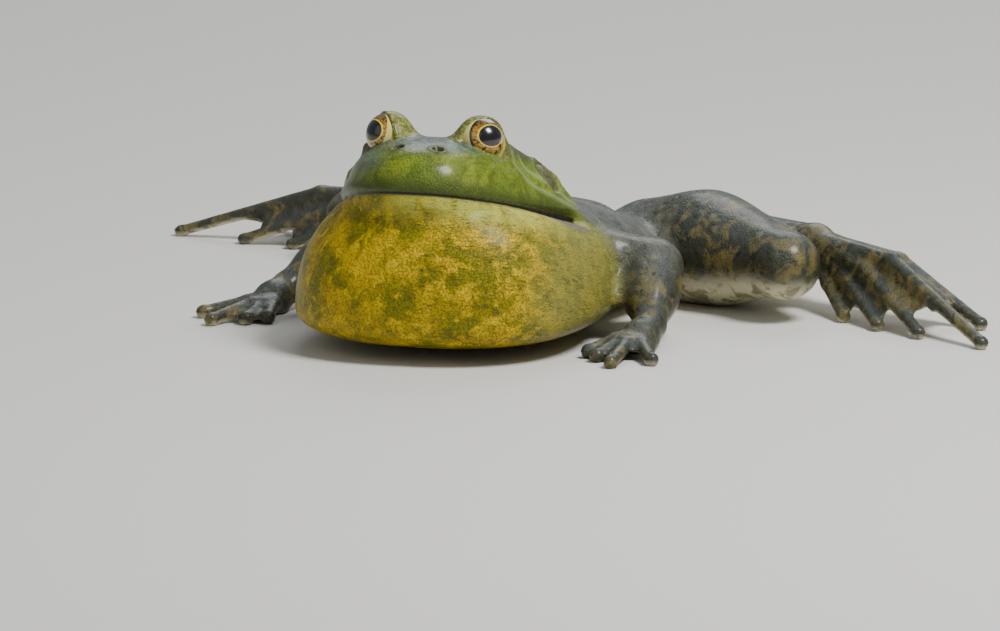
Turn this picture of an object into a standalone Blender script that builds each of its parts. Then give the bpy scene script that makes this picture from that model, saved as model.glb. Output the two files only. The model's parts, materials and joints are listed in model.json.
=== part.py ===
"""A life-size still model of a male American bullfrog, throat full of air, lying on its belly.

The frog is built from named parts of the body. Each part has a form: a function of position that is
negative inside the part and close to the distance from its surface. A part starts as plain
primitives, which are fused by a voxel remesh, settled onto the form and then reduced.

Working space, in millimetres: the trunk's midline is X = 0 and the frog faces -Y, with its left
side at +X and the floor at Z = 0. The head turns to its left. The finished parts are in metres, with
the middle of the underside of the frog's box at the origin.
"""
import bmesh
import bpy
import math
import numpy as np
from mathutils import Matrix, Vector

MM = 0.001
GAP = 0.35
LIMB_GAP = 1.2

# The head, along its own axes: back from the lip's tip, to its left, and up from the mouth's plane.
LIP_TIP = (13.3, 0.0, 49.7)
HEAD_TURN = math.radians(14.0)
HEAD_PITCH = math.radians(15.5)
JAW_LENGTH = 58.0
JAW_HALF_WIDTH = 34.0
HEAD_BACK = 9.0
HEAD_RISE = (
    (0, 24.0), (4, 23.4), (8, 22.0), (15, 21.4), (26, 20.7), (36, 18.9), (45, 17.4), (58, 12.5), (80, 8.0),
)
HEAD_ROUNDNESS = 1.71
OUTLINE_POWER = 2.4
SNOUT_POWER = 1.3
EYE_FILLET = 5.0
FOLD_FILLET = 3.5
JAW_FILLET = 4.0
MUSCLE_FILLET = 6.0
LIP_DROP = 3.0
JAW_DEPTH = 10.0
JAW_INSET = 1.2
EYE_CENTRE = (24.5, 13.5, 18.0)
EYE_RADIUS = 6.6
LID_THICKNESS = 0.8
EYE_OPENING = math.radians(62.0)
EYE_TURN = math.radians(43.0)
EYE_LIFT = math.radians(16.0)
EAR_CENTRE = (45.5, 26.4, 10.2)
EAR_AXIS = (0.12, 0.9, 0.42)
EAR_RADIUS = 5.4
EAR_HALF_THICKNESS = 1.2
EAR_FOLD = (
    ((28.0, 17.6, 14.6), 3.4), ((33.0, 18.7, 14.6), 3.4), ((38.0, 20.2, 13.9), 2.9),
    ((43.0, 21.8, 12.9), 2.4), ((48.0, 24.4, 11.6), 2.1), ((52.5, 27.4, 8.6), 1.8),
    ((55.5, 30.0, 4.6), 1.5), ((57.0, 31.6, 1.6), 1.2),
)
CUTTER_REACH = 4.0
NECK = (0.0, 56.0, 28.0)

# The throat's air sac: middle, and reach to the front, back, sides, top and bottom.
SAC_CENTRE = (46.0, 2.0, 12.0)
SAC_FRONT = 52.0
SAC_BACK = 40.0
SAC_SIDE = 44.0
SAC_TOP = 33.0
SAC_BOTTOM = 10.5
SAC_TOP_SLOPE = 0.277

# The trunk: stations along Y with half its width, its highest and its lowest point.
TRUNK_Y = (40, 50, 62, 75, 90, 105, 120, 135, 148, 158)
TRUNK_HALF_WIDTH = (17, 22, 28.5, 34.5, 37, 35.5, 31, 24, 16, 7)
TRUNK_TOP = (40, 41.5, 41, 39, 35.5, 31, 26, 21, 15, 9)
TRUNK_BOTTOM = (3, 1, -0.6, -0.8, -0.8, -0.8, -0.6, 0.6, 2.5, 4)
TRUNK_FRONT = 40.0
TRUNK_BACK = 161.0
SHOULDER_MUSCLE = (22, 69, 24)
SHOULDER_RADII = (12, 14, 11)
HIP_MUSCLE = (12, 141, 13)
HIP_RADII = (12, 16, 9)

# The limbs of the left side, joint by joint: place and radius.
SHOULDER = ((27, 69, 22), 10.0)
ELBOW = ((48, 80, 18.5), 8.0)
WRIST = ((60, 57, 6.5), 4.6)
PALM = ((61, 50, 4.0), 5.0)
FINGERS = (
    ((57, 44, 4.2), (53, 34, 2.0)),
    ((59, 41, 4.0), (58, 30, 1.8)),
    ((62, 40, 4.0), (66, 24, 1.7)),
    ((65, 43, 3.8), (74, 33, 1.7)),
)
FINGER_RADII = (2.9, 2.2, 1.8)
HIP = ((12, 143, 14.0), 11.0)
THIGH = ((38, 131, 16.0), 15.5)
KNEE = ((74, 112, 16.5), 9.6)
CALF = ((56, 130, 15.5), 10.0)
HEEL = ((33, 158, 15.0), 6.6)
TARSUS = ((68, 140.5, 18.0), 5.4)
TOES = (
    ((79, 129, 9.0), (89, 119, 1.9)),
    ((87, 126, 11.0), (104, 112, 1.8)),
    ((94, 124, 15.0), (120, 107, 1.8)),
    ((103, 122.5, 18.6), (143, 102, 1.8)),
    ((99, 134, 16.5), (129, 128, 1.8)),
)
TOE_RADII = (4.0, 2.5, 1.7)
WEB_HALF_THICKNESS = 0.7
WEB_REACH = 0.6

# The right leg is the left one mirrored, swung further back from the hip and held lower.
RIGHT_LEG_SWING = math.radians(18.0)
RIGHT_LEG_HEIGHT = 0.85

# The mesh: a distance beyond any part of the head, and how vertices are settled onto a form.
FAR = 40.0
SETTLING_ROUNDS = 12
STILL_ROUNDS = 3
SPREAD = 0.35
LONGEST_MOVE = 2.0

SKIN_BACK = (0.085, 0.095, 0.075)
SKIN_HEAD = (0.16, 0.26, 0.03)
SKIN_THROAT = (0.55, 0.45, 0.03)
EYE_COLOUR = (0.22, 0.11, 0.02)
EAR_COLOUR = (0.12, 0.09, 0.035)


def through(stations, values, where):
    """A smooth curve through the values at the stations, level with the ends beyond them."""
    stations = np.asarray(stations, float)
    values = np.asarray(values, float)
    slopes = np.gradient(values, stations)
    where = np.clip(where, stations[0], stations[-1])
    index = np.clip(np.searchsorted(stations, where) - 1, 0, len(stations) - 2)
    width = stations[index + 1] - stations[index]
    t = (where - stations[index]) / width
    rise = (1 + 2 * t) * (1 - t) ** 2 * values[index] + t * (1 - t) ** 2 * width * slopes[index]
    fall = t * t * (3 - 2 * t) * values[index + 1] + t * t * (t - 1) * width * slopes[index + 1]
    return rise + fall


def join(first, second, width):
    """Both forms, with a fillet of about the width where they meet."""
    overlap = np.maximum(width - np.abs(first - second), 0.0) / width
    return np.minimum(first, second) - overlap * overlap * width * 0.25


def length(vectors):
    return np.sqrt((vectors * vectors).sum(1))


def limb(points, start, end, start_radius, end_radius):
    """A tapered rod with round ends."""
    start = np.asarray(start, float)
    along = np.asarray(end, float) - start
    share = np.clip((points - start) @ along / (along @ along), 0.0, 1.0)
    reach = length(points - start - share[:, None] * along)
    return reach - (start_radius + (end_radius - start_radius) * share)


def ellipsoid(points, centre, radii, axes=None):
    """An ellipsoid, with its radii along the rows of axes."""
    local = points - np.asarray(centre, float)
    if axes is not None:
        local = local @ np.asarray(axes, float).T
    radii = np.asarray(radii, float)
    near = length(local / radii)
    slope = length(local / (radii * radii))
    return near * (near - 1.0) / np.maximum(slope, 1e-6)


def bulge(points, start, end, share, radii):
    """A muscle: an ellipsoid laid along a bone, its middle at a share of the bone's length."""
    start = Vector(start)
    along = (Vector(end) - start).normalized()
    side = along.cross(Vector((0, 0, 1))).normalized()
    middle = start.lerp(Vector(end), share)
    return ellipsoid(points, middle, radii, (along, side, along.cross(side)))


def level(measure, points):
    """The surface where a measure is one, made close to a distance by its own slope."""
    value = measure(points)
    return (value - 1.0) / np.maximum(length(slope_of(measure, points, value)), 1e-4)


def slope_of(form, points, value):
    step = 0.02
    slopes = [(form(points + offset) - value) / step for offset in np.eye(3) * step]
    return np.stack(slopes, axis=1)


def right_arm(points):
    """The right arm's place for every point of the left arm."""
    return points * (-1.0, 1.0, 1.0)


def right_leg(points):
    """The right leg's place for every point of the left leg."""
    cosine = math.cos(RIGHT_LEG_SWING)
    sine = math.sin(RIGHT_LEG_SWING)
    swing = np.array(((cosine, -sine, 0), (sine, cosine, 0), (0, 0, 1)))
    hip = np.array((HIP[0][0], HIP[0][1], 0.0))
    return ((points - hip) @ swing.T + hip) * (-1.0, 1.0, RIGHT_LEG_HEIGHT)


def head_axes():
    back = Vector((-math.sin(HEAD_TURN), math.cos(HEAD_TURN), 0))
    left = Vector((math.cos(HEAD_TURN), math.sin(HEAD_TURN), 0))
    tilt = Matrix.Rotation(-HEAD_PITCH, 3, left)
    return tilt @ back, left, tilt @ Vector((0, 0, 1))


HEAD_AXES = head_axes()


def head_local(points):
    return (points - LIP_TIP) @ np.array(HEAD_AXES).T


def head_world(place):
    back, left, up = HEAD_AXES
    return Vector(LIP_TIP) + back * place[0] + left * place[1] + up * place[2]


def outline(back, left):
    """One at the edge of the mouth seen from above: a blunt round snout, widest at the jaw's corner."""
    ahead = np.clip(1.0 - back / JAW_LENGTH, 0.0, None) ** SNOUT_POWER
    behind = (np.clip(back - JAW_LENGTH, 0.0, None) / HEAD_BACK) ** 2
    return (np.abs(left) / JAW_HALF_WIDTH) ** OUTLINE_POWER, ahead + behind


def step(value, start, end):
    """From 0 at the start to 1 at the end, smoothly."""
    t = np.clip((value - start) / (end - start), 0.0, 1.0)
    return t * t * (3 - 2 * t)


def head_measure(points):
    back, left, up = head_local(points).T
    across, along = outline(back, left)
    height = np.abs(up) / np.where(up > 0, through(*zip(*HEAD_RISE), back), LIP_DROP)
    height = height ** (1.5 + 1.1 * step(back, 34.0, 48.0))
    return across + (along ** HEAD_ROUNDNESS + height ** HEAD_ROUNDNESS) ** (1.0 / HEAD_ROUNDNESS)


def fold_form(points):
    """The round ridge over each eardrum."""
    mirrored = np.abs(head_local(points)) * (0, 1, 0) + head_local(points) * (1, 0, 1)
    form = np.full(len(points), FAR)
    for (start, start_radius), (end, end_radius) in zip(EAR_FOLD, EAR_FOLD[1:]):
        form = np.minimum(form, limb(mirrored, start, end, start_radius, end_radius))
    return form


def eye_place(side):
    return head_world((EYE_CENTRE[0], side * EYE_CENTRE[1], EYE_CENTRE[2]))


def eye_axis(side):
    """Where the eye looks: out to its side of straight ahead, and a little up."""
    heading = math.pi * 1.5 + HEAD_TURN + side * EYE_TURN
    flat = Vector((math.cos(heading), math.sin(heading), 0)) * math.cos(EYE_LIFT)
    return flat + Vector((0, 0, math.sin(EYE_LIFT)))


def ear_place(side):
    return head_world((EAR_CENTRE[0], side * EAR_CENTRE[1], EAR_CENTRE[2]))


def ear_axis(side):
    back, left, up = HEAD_AXES
    return (back * EAR_AXIS[0] + left * side * EAR_AXIS[1] + up * EAR_AXIS[2]).normalized()


def neck_plane():
    """The neck's place, and the way back from it, square to the half-turned head."""
    turn = HEAD_TURN * 0.5
    return Vector(NECK), Vector((-math.sin(turn), math.cos(turn), 0.0))


def mouth_plane():
    return Vector(LIP_TIP), HEAD_AXES[2]


def head_form(points):
    form = level(head_measure, points)
    for side in (-1, 1):
        eye = np.array(eye_place(side))
        form = join(form, length(points - eye) - EYE_RADIUS - LID_THICKNESS, EYE_FILLET)
    return join(form, fold_form(points), FOLD_FILLET)


def sac_measure(points):
    flat_back = np.array((-math.sin(HEAD_TURN), math.cos(HEAD_TURN), 0.0))
    flat_left = np.array((math.cos(HEAD_TURN), math.sin(HEAD_TURN), 0.0))
    offset = points - (LIP_TIP[0], LIP_TIP[1], 0.0)
    back = offset @ flat_back - SAC_CENTRE[0]
    left = np.abs(offset @ flat_left - SAC_CENTRE[1])
    up = points[:, 2] - SAC_CENTRE[2]
    ahead = np.abs(back) / np.where(back < 0, SAC_FRONT, SAC_BACK)
    top = SAC_TOP - SAC_TOP_SLOPE * np.clip(back, -SAC_FRONT, 0.0)
    height = np.abs(up) / np.where(up > 0, top, SAC_BOTTOM)
    return ahead ** 2.7 + (left / SAC_SIDE) ** 2.4 + height ** np.where(up > 0, 2.0, 2.7)


def jaw_measure(points):
    back, left, up = head_local(points).T
    across, along = outline(back - JAW_INSET, left * 1.05)
    height = (np.abs(up + 1.0) / JAW_DEPTH) ** (2.0 * HEAD_ROUNDNESS)
    return across + (along ** HEAD_ROUNDNESS + height) ** (1.0 / HEAD_ROUNDNESS)


def throat_form(points):
    return join(level(sac_measure, points), level(jaw_measure, points), JAW_FILLET)


def trunk_measure(points):
    across, along, up = points.T
    half_width = through(TRUNK_Y, TRUNK_HALF_WIDTH, along)
    top = through(TRUNK_Y, TRUNK_TOP, along)
    bottom = through(TRUNK_Y, TRUNK_BOTTOM, along)
    middle = bottom + (top - bottom) * 0.45
    height = np.where(up > middle, (up - middle) / (top - middle), (middle - up) / (middle - bottom))
    beyond = np.maximum(np.maximum(along - TRUNK_BACK, TRUNK_FRONT - along) + 6.0, 0.0) / 6.0
    return (np.abs(across) / half_width) ** 2.2 + height ** np.where(up > middle, 2.2, 3.0) + beyond ** 2


def trunk_form(points):
    left_side = np.abs(points) * (1, 0, 0) + points * (0, 1, 1)
    form = level(trunk_measure, points)
    form = join(form, ellipsoid(left_side, SHOULDER_MUSCLE, SHOULDER_RADII), MUSCLE_FILLET)
    return join(form, ellipsoid(left_side, HIP_MUSCLE, HIP_RADII), MUSCLE_FILLET)


def joint_plane(before, joint, after):
    """The plane through a joint that halves its bend: its place and its normal, facing on."""
    here = Vector(joint[0])
    behind = (Vector(before[0]) - here).normalized()
    ahead = (Vector(after[0]) - here).normalized()
    return here, (ahead - behind).normalized()


ELBOW_PLANE = joint_plane(SHOULDER, ELBOW, WRIST)
WRIST_PLANE = joint_plane(ELBOW, WRIST, PALM)
KNEE_PLANE = joint_plane(THIGH, KNEE, CALF)
HEEL_PLANE = joint_plane(CALF, HEEL, TARSUS)
FOOT_PLANE = joint_plane(HEEL, TARSUS, TOES[2])


def upper_arm_form(points):
    return limb(points, SHOULDER[0], ELBOW[0], SHOULDER[1], ELBOW[1])


def forearm_form(points):
    form = limb(points, ELBOW[0], WRIST[0], ELBOW[1], WRIST[1])
    return join(form, bulge(points, ELBOW[0], WRIST[0], 0.36, (14, 8.2, 8.4)), 4.0)


def digits_form(points, root, digits, radii):
    """Fingers or toes from one root, each of two bones that taper to a soft tip."""
    form = ellipsoid(points, root[0], (root[1], root[1], root[1]))
    for knuckle, tip in digits:
        form = join(form, limb(points, root[0], knuckle, radii[0], radii[1]), 1.6)
        form = join(form, limb(points, knuckle, tip, radii[1], radii[2]), 1.2)
    return form


def hand_form(points):
    form = digits_form(points, PALM, FINGERS, FINGER_RADII)
    return join(form, limb(points, WRIST[0], PALM[0], WRIST[1], PALM[1] - 0.6), 3.0)


def thigh_form(points):
    form = limb(points, HIP[0], THIGH[0], HIP[1], THIGH[1] - 1.5)
    form = join(form, limb(points, THIGH[0], KNEE[0], THIGH[1] - 1.5, KNEE[1]), 6.0)
    return join(form, bulge(points, HIP[0], KNEE[0], 0.42, (33, 17, 15.6)), 5.0)


def shank_form(points):
    form = limb(points, KNEE[0], CALF[0], KNEE[1], CALF[1] - 0.8)
    return join(form, limb(points, CALF[0], HEEL[0], CALF[1] - 0.8, HEEL[1]), 6.0)


def tarsus_form(points):
    return limb(points, HEEL[0], TARSUS[0], HEEL[1], TARSUS[1])


def plate(points, corners, half_thickness):
    """A thin three-cornered web with a round edge."""
    a, b, c = (np.array(corner, float) for corner in corners)
    normal = np.cross(b - a, c - a)
    normal /= np.linalg.norm(normal)
    height = (points - a) @ normal
    flat = points - height[:, None] * normal
    inside = np.full(len(points), -1e9)
    edge = np.full(len(points), 1e9)
    for start, end in ((a, b), (b, c), (c, a)):
        outward = np.cross(end - start, normal)
        outward /= np.linalg.norm(outward)
        inside = np.maximum(inside, (flat - start) @ outward)
        edge = np.minimum(edge, limb(flat, start, end, 0.0, 0.0))
    away = np.where(inside < 0, 0.0, edge)
    return np.sqrt(height * height + away * away) - half_thickness


def web_corners(root, toes):
    """Triangles of web: from the root to each pair of knuckles, and on towards the tips."""
    for (knuckle, tip), (next_knuckle, next_tip) in zip(toes, toes[1:]):
        near = Vector(knuckle).lerp(Vector(tip), WEB_REACH)
        far = Vector(next_knuckle).lerp(Vector(next_tip), WEB_REACH)
        yield root, knuckle, next_knuckle
        yield knuckle, next_knuckle, near
        yield next_knuckle, near, far


def foot_form(points):
    form = digits_form(points, TARSUS, TOES, TOE_RADII)
    for corners in web_corners(TARSUS[0], TOES):
        form = join(form, plate(points, corners, WEB_HALF_THICKNESS), 0.8)
    return form


def gradient_step(form, points):
    value = form(points)
    slope = slope_of(form, points, value)
    steep = np.maximum((slope * slope).sum(1), 0.05)
    move = -(value / steep)[:, None] * slope
    far = np.maximum(length(move), 1e-9)
    return points + move * np.minimum(1.0, LONGEST_MOVE / far)[:, None]


def settled(points, edges, form, rounds):
    """Vertices drawn onto the form's surface, and spread evenly over it on the way."""
    links = np.bincount(edges.ravel(), minlength=len(points)).astype(float)
    for turn in range(rounds):
        points = gradient_step(form, points)
        if turn < rounds - STILL_ROUNDS:
            total = np.zeros_like(points)
            np.add.at(total, edges[:, 0], points[edges[:, 1]])
            np.add.at(total, edges[:, 1], points[edges[:, 0]])
            points = points + SPREAD * (total / links[:, None] - points)
    return points


def material(name, colour, roughness):
    made = bpy.data.materials.new(name)
    made.use_nodes = True
    shader = made.node_tree.nodes["Principled BSDF"]
    shader.inputs["Base Color"].default_value = (*colour, 1.0)
    shader.inputs["Roughness"].default_value = roughness
    shader.inputs["Metallic"].default_value = 0.0
    return made


def ball(mesh, centre, radii, along=(0, 0, 1)):
    """A sphere stretched to its radii, with its third axis laid along a direction."""
    turn = Vector(along).to_track_quat("Z", "X").to_matrix().to_4x4()
    place = Matrix.Translation(Vector(centre)) @ turn @ Matrix.Diagonal((*radii, 1.0))
    bmesh.ops.create_uvsphere(mesh, u_segments=24, v_segments=16, radius=1.0, matrix=place)


def rod(mesh, start, end, radius):
    """A plain bar with round ends."""
    start = Vector(start)
    end = Vector(end)
    along = end - start
    ball(mesh, start.lerp(end, 0.5), (radius, radius, along.length / 2 + radius), along)
    ball(mesh, start.lerp(end, 0.2), (radius, radius, radius))
    ball(mesh, start.lerp(end, 0.8), (radius, radius, radius))


def slab(mesh, corners, half_thickness):
    """A flat three-cornered plate."""
    a, b, c = (Vector(corner) for corner in corners)
    offset = (b - a).cross(c - a).normalized() * half_thickness
    verts = [mesh.verts.new(corner + offset * side) for corner in (a, b, c) for side in (-1, 1)]
    bmesh.ops.convex_hull(mesh, input=verts)


def add_object(name, mesh, finish=None):
    part = bpy.data.objects.new(name, mesh)
    bpy.context.scene.collection.objects.link(part)
    if finish is not None:
        mesh.materials.append(finish)
        mesh.shade_smooth()
    return part


def cut(part, cutter):
    """Take the cutter's shape away from a part."""
    room = part.modifiers.new(cutter.name, "BOOLEAN")
    room.operation = "DIFFERENCE"
    room.object = cutter


def evaluated_mesh(blank):
    """The mesh that an object's modifiers give; the object itself is removed."""
    graph = bpy.context.evaluated_depsgraph_get()
    result = bpy.data.meshes.new_from_object(blank.evaluated_get(graph))
    bpy.data.objects.remove(blank)
    return result


def fused(name, primitives, voxel):
    """One closed mesh around a set of primitives."""
    shape = bmesh.new()
    for maker, *arguments in primitives:
        maker(shape, *arguments)
    mesh = bpy.data.meshes.new(name)
    shape.to_mesh(mesh)
    shape.free()
    blank = add_object(name, mesh)
    remesh = blank.modifiers.new("fuse", "REMESH")
    remesh.mode = "VOXEL"
    remesh.voxel_size = voxel
    return evaluated_mesh(blank)


def places_of(mesh):
    points = np.zeros(len(mesh.vertices) * 3)
    mesh.vertices.foreach_get("co", points)
    return points.reshape(-1, 3)


def trimmed(mesh, planes):
    """Cut the mesh at each plane, half a gap short of it, and close it with a flat face."""
    shape = bmesh.new()
    shape.from_mesh(mesh)
    for place, normal in planes:
        every = [*shape.verts, *shape.edges, *shape.faces]
        start = place - normal * GAP / 2
        bmesh.ops.bisect_plane(shape, geom=every, plane_co=start, plane_no=normal, clear_outer=True)
        rim = [edge for edge in shape.edges if edge.is_boundary]
        bmesh.ops.holes_fill(shape, edges=rim)
    bmesh.ops.triangulate(shape, faces=shape.faces)
    shape.to_mesh(mesh)
    shape.free()


def facing_away(plane):
    place, normal = plane
    return place, -normal


def body_part(name, primitives, form, voxel, triangles, finish, planes=(), placing=None):
    """A named part: its primitives fused, settled onto its form, reduced, trimmed and placed."""
    mesh = fused(name, primitives, voxel)
    edges = np.zeros(len(mesh.edges) * 2, dtype=np.int32)
    mesh.edges.foreach_get("vertices", edges)
    points = settled(places_of(mesh), edges.reshape(-1, 2), form, SETTLING_ROUNDS)
    mesh.vertices.foreach_set("co", points.ravel())
    blank = add_object(name, mesh)
    reduce = blank.modifiers.new("reduce", "DECIMATE")
    reduce.ratio = min(1.0, triangles / (2.0 * len(mesh.polygons)))
    reduced = evaluated_mesh(blank)
    trimmed(reduced, planes)
    points = places_of(reduced)
    points[:, 2] = np.maximum(points[:, 2], 0.0)
    if placing is not None:
        points = placing(points)
        reduced.flip_normals()
    reduced.vertices.foreach_set("co", (points * MM).ravel())
    reduced.update()
    return add_object(name, reduced, finish)


def sense_organ(name, add_shape, place, along, size, front, finish):
    """An eye or an eardrum, and the larger cutter, open to the front, that makes room for it."""
    made = []
    turn = along.to_track_quat("Z", "X").to_matrix().to_4x4()
    for label, spare in ((name, 0.0), (f"{name}_cutter", GAP)):
        shape = bmesh.new()
        add_shape(shape, [measure + spare for measure in size])
        for vert in shape.verts:
            if spare and vert.co.z > front:
                vert.co.z += CUTTER_REACH
        bmesh.ops.transform(shape, matrix=Matrix.Translation(place) @ turn, verts=shape.verts)
        bmesh.ops.scale(shape, vec=(MM, MM, MM), verts=shape.verts)
        mesh = bpy.data.meshes.new(label)
        shape.to_mesh(mesh)
        shape.free()
        made.append(add_object(label, mesh, finish))
    made[1].hide_render = True
    made[1].display_type = "WIRE"
    return made[1]


def eyeball(shape, size):
    bmesh.ops.create_uvsphere(shape, u_segments=20, v_segments=12, radius=size[0])


def drumskin(shape, size):
    """A round button with bevelled edges."""
    radius, half_thickness = size
    bmesh.ops.create_cone(
        shape, cap_ends=True, segments=22, radius1=radius, radius2=radius, depth=2 * half_thickness
    )


def grown_copy(part):
    """A guide one limb gap larger than a part, which keeps the limbs clear of it."""
    mesh = part.data.copy()
    for vert, source in zip(mesh.vertices, part.data.vertices):
        vert.co = source.co + source.normal * LIMB_GAP * MM
    larger = add_object(f"{part.name}_cutter", mesh)
    larger.hide_render = True
    larger.display_type = "WIRE"
    return larger


def head_parts():
    skin = material("head_skin", SKIN_HEAD, 0.35)
    skull = [(ball, head_world((40, 0, 4)), (30, 30, 12)), (ball, head_world((20, 0, 5)), (20, 19, 11))]
    for side in (-1, 1):
        skull.append((ball, eye_place(side), (7, 7, 7)))
    planes = (facing_away(mouth_plane()), neck_plane())
    head = body_part("head", skull, head_form, 1.3, 1560, skin, planes)
    for cutter in sense_parts():
        cut(head, cutter)
    flat = head_world((30, 2, 0))
    sac = [(ball, (flat.x, flat.y, 17), (38, 27, 15)), (ball, head_world((22, 0, -4)), (19, 19, 8))]
    yellow = material("throat_skin", SKIN_THROAT, 0.4)
    planes = (mouth_plane(), neck_plane())
    return grown_copy(body_part("throat", sac, throat_form, 1.8, 960, yellow, planes))


def sense_parts():
    eye_finish = material("eye", EYE_COLOUR, 0.08)
    ear_finish = material("eardrum", EAR_COLOUR, 0.4)
    eye = (eyeball, eye_place, eye_axis, (EYE_RADIUS,), EYE_RADIUS * math.cos(EYE_OPENING), eye_finish)
    ear = (drumskin, ear_place, ear_axis, (EAR_RADIUS, EAR_HALF_THICKNESS), 0.0, ear_finish)
    for organ, (add_shape, place, axis, size, front, finish) in (("eye", eye), ("eardrum", ear)):
        for name, side in (("left", 1), ("right", -1)):
            yield sense_organ(
                f"{organ}_{name}", add_shape, place(side), axis(side), size, front, finish
            )


def digit_rods(root, digits, radius):
    rods = [(ball, root[0], (root[1], root[1], root[1]))]
    for knuckle, tip in digits:
        rods.append((rod, root[0], knuckle, radius))
        rods.append((rod, knuckle, tip, radius * 0.8))
    return rods


def limb_parts(finish, throat_cutter, trunk_cutter):
    arm = [(rod, SHOULDER[0], ELBOW[0], 8)]
    forearm = [(rod, ELBOW[0], WRIST[0], 6.5)]
    hand = digit_rods(PALM, FINGERS, 2.2) + [(rod, WRIST[0], PALM[0], 4)]
    thigh = [(rod, HIP[0], THIGH[0], 12), (rod, THIGH[0], KNEE[0], 10)]
    shank = [(rod, KNEE[0], CALF[0], 8.5), (rod, CALF[0], HEEL[0], 7)]
    tarsus = [(rod, HEEL[0], TARSUS[0], 5.5)]
    foot = digit_rods(TARSUS, TOES, 2.6)
    foot += [(slab, corners, 1.3) for corners in web_corners(TARSUS[0], TOES)]
    plans = (
        ("upper_arm", arm, upper_arm_form, 1.2, 200, None, ELBOW_PLANE, right_arm),
        ("forearm", forearm, forearm_form, 1.2, 200, ELBOW_PLANE, WRIST_PLANE, right_arm),
        ("hand", hand, hand_form, 0.9, 450, WRIST_PLANE, None, right_arm),
        ("thigh", thigh, thigh_form, 1.5, 300, None, KNEE_PLANE, right_leg),
        ("shank", shank, shank_form, 1.3, 220, KNEE_PLANE, HEEL_PLANE, right_leg),
        ("tarsus", tarsus, tarsus_form, 1.1, 120, HEEL_PLANE, FOOT_PLANE, right_leg),
        ("foot", foot, foot_form, 0.9, 600, FOOT_PLANE, None, right_leg),
    )
    for name, primitives, form, voxel, triangles, start, end, placing in plans:
        planes = [facing_away(start)] if start else []
        planes += [end] if end else []
        for side_name, side_placing in (("left", None), ("right", placing)):
            part = body_part(
                f"{name}_{side_name}", primitives, form, voxel, triangles, finish, planes, side_placing
            )
            if name in ("upper_arm", "thigh"):
                cut(part, trunk_cutter)
            if name == "upper_arm":
                cut(part, throat_cutter)


def centre_on_floor():
    """Every part moved together, so that the box's underside has its middle at the origin."""
    graph = bpy.context.evaluated_depsgraph_get()
    parts = [part for part in bpy.data.objects if part.type == "MESH"]
    corners = []
    for part in parts:
        if not part.hide_render:
            corners += [corner.co for corner in part.evaluated_get(graph).data.vertices]
    low = Vector([min(corner[axis] for corner in corners) for axis in range(3)])
    high = Vector([max(corner[axis] for corner in corners) for axis in range(3)])
    shift = Matrix.Translation(Vector((-(low.x + high.x) / 2, -(low.y + high.y) / 2, -low.z)))
    for part in parts:
        part.data.transform(shift)
        part.data.update()


def build():
    for old in list(bpy.data.objects):
        bpy.data.objects.remove(old)
    back_skin = material("back_skin", SKIN_BACK, 0.35)
    throat_cutter = head_parts()
    belly = [(ball, (0, 98, 18), (33, 58, 19)), (ball, (0, 66, 22), (30, 22, 18))]
    trunk = body_part("trunk", belly, trunk_form, 1.8, 860, back_skin, (facing_away(neck_plane()),))
    limb_parts(back_skin, throat_cutter, grown_copy(trunk))
    centre_on_floor()


build()
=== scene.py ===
"""The looks of a still, life-size American bullfrog: its skin in one piece, its eyes and the stage.

The skin starts as plain primitives, fused by a voxel remesh. Its vertices are then settled onto the
frog's form, a function of position that is negative inside the body and close to the distance from
its surface. The head gets finer faces and is settled again with its folds, lids, lips and nostrils.

Working space, in millimetres: the trunk's midline is X = 0 and the frog faces -Y, with its left side
at +X and the floor at Z = 0. Finished pieces are in metres, in the frame's own place.
"""
import json
import math
import bpy
import numpy as np
from mathutils import Matrix, Vector


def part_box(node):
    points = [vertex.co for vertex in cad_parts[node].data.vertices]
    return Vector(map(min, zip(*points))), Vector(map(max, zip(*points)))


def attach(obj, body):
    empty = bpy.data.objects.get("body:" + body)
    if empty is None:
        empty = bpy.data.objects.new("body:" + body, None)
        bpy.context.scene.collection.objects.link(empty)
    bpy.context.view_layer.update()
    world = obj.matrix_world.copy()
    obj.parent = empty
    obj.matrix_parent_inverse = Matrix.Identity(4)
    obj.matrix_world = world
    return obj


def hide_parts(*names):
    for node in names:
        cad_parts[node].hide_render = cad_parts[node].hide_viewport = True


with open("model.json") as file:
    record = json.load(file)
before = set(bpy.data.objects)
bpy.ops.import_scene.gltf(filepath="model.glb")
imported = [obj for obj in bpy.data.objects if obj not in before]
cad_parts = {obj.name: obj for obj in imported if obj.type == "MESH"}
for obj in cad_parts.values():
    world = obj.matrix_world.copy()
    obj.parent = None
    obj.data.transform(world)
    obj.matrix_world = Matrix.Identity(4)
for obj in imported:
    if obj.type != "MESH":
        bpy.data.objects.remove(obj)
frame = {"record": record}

bl_info = {
    "name": "Still bullfrog",
    "version": (1, 0, 0),
    "blender": (4, 5, 0),
    "location": "View3D > Sidebar > Bullfrog",
    "description": "Makes the skin, the eyes and the stage of a life-size still bullfrog",
    "category": "Object",
}

MM = 0.001
NODES = [item["node"] for item in frame["record"]["subparts"]]
SIDES = (("left", 1), ("right", -1))

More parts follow.
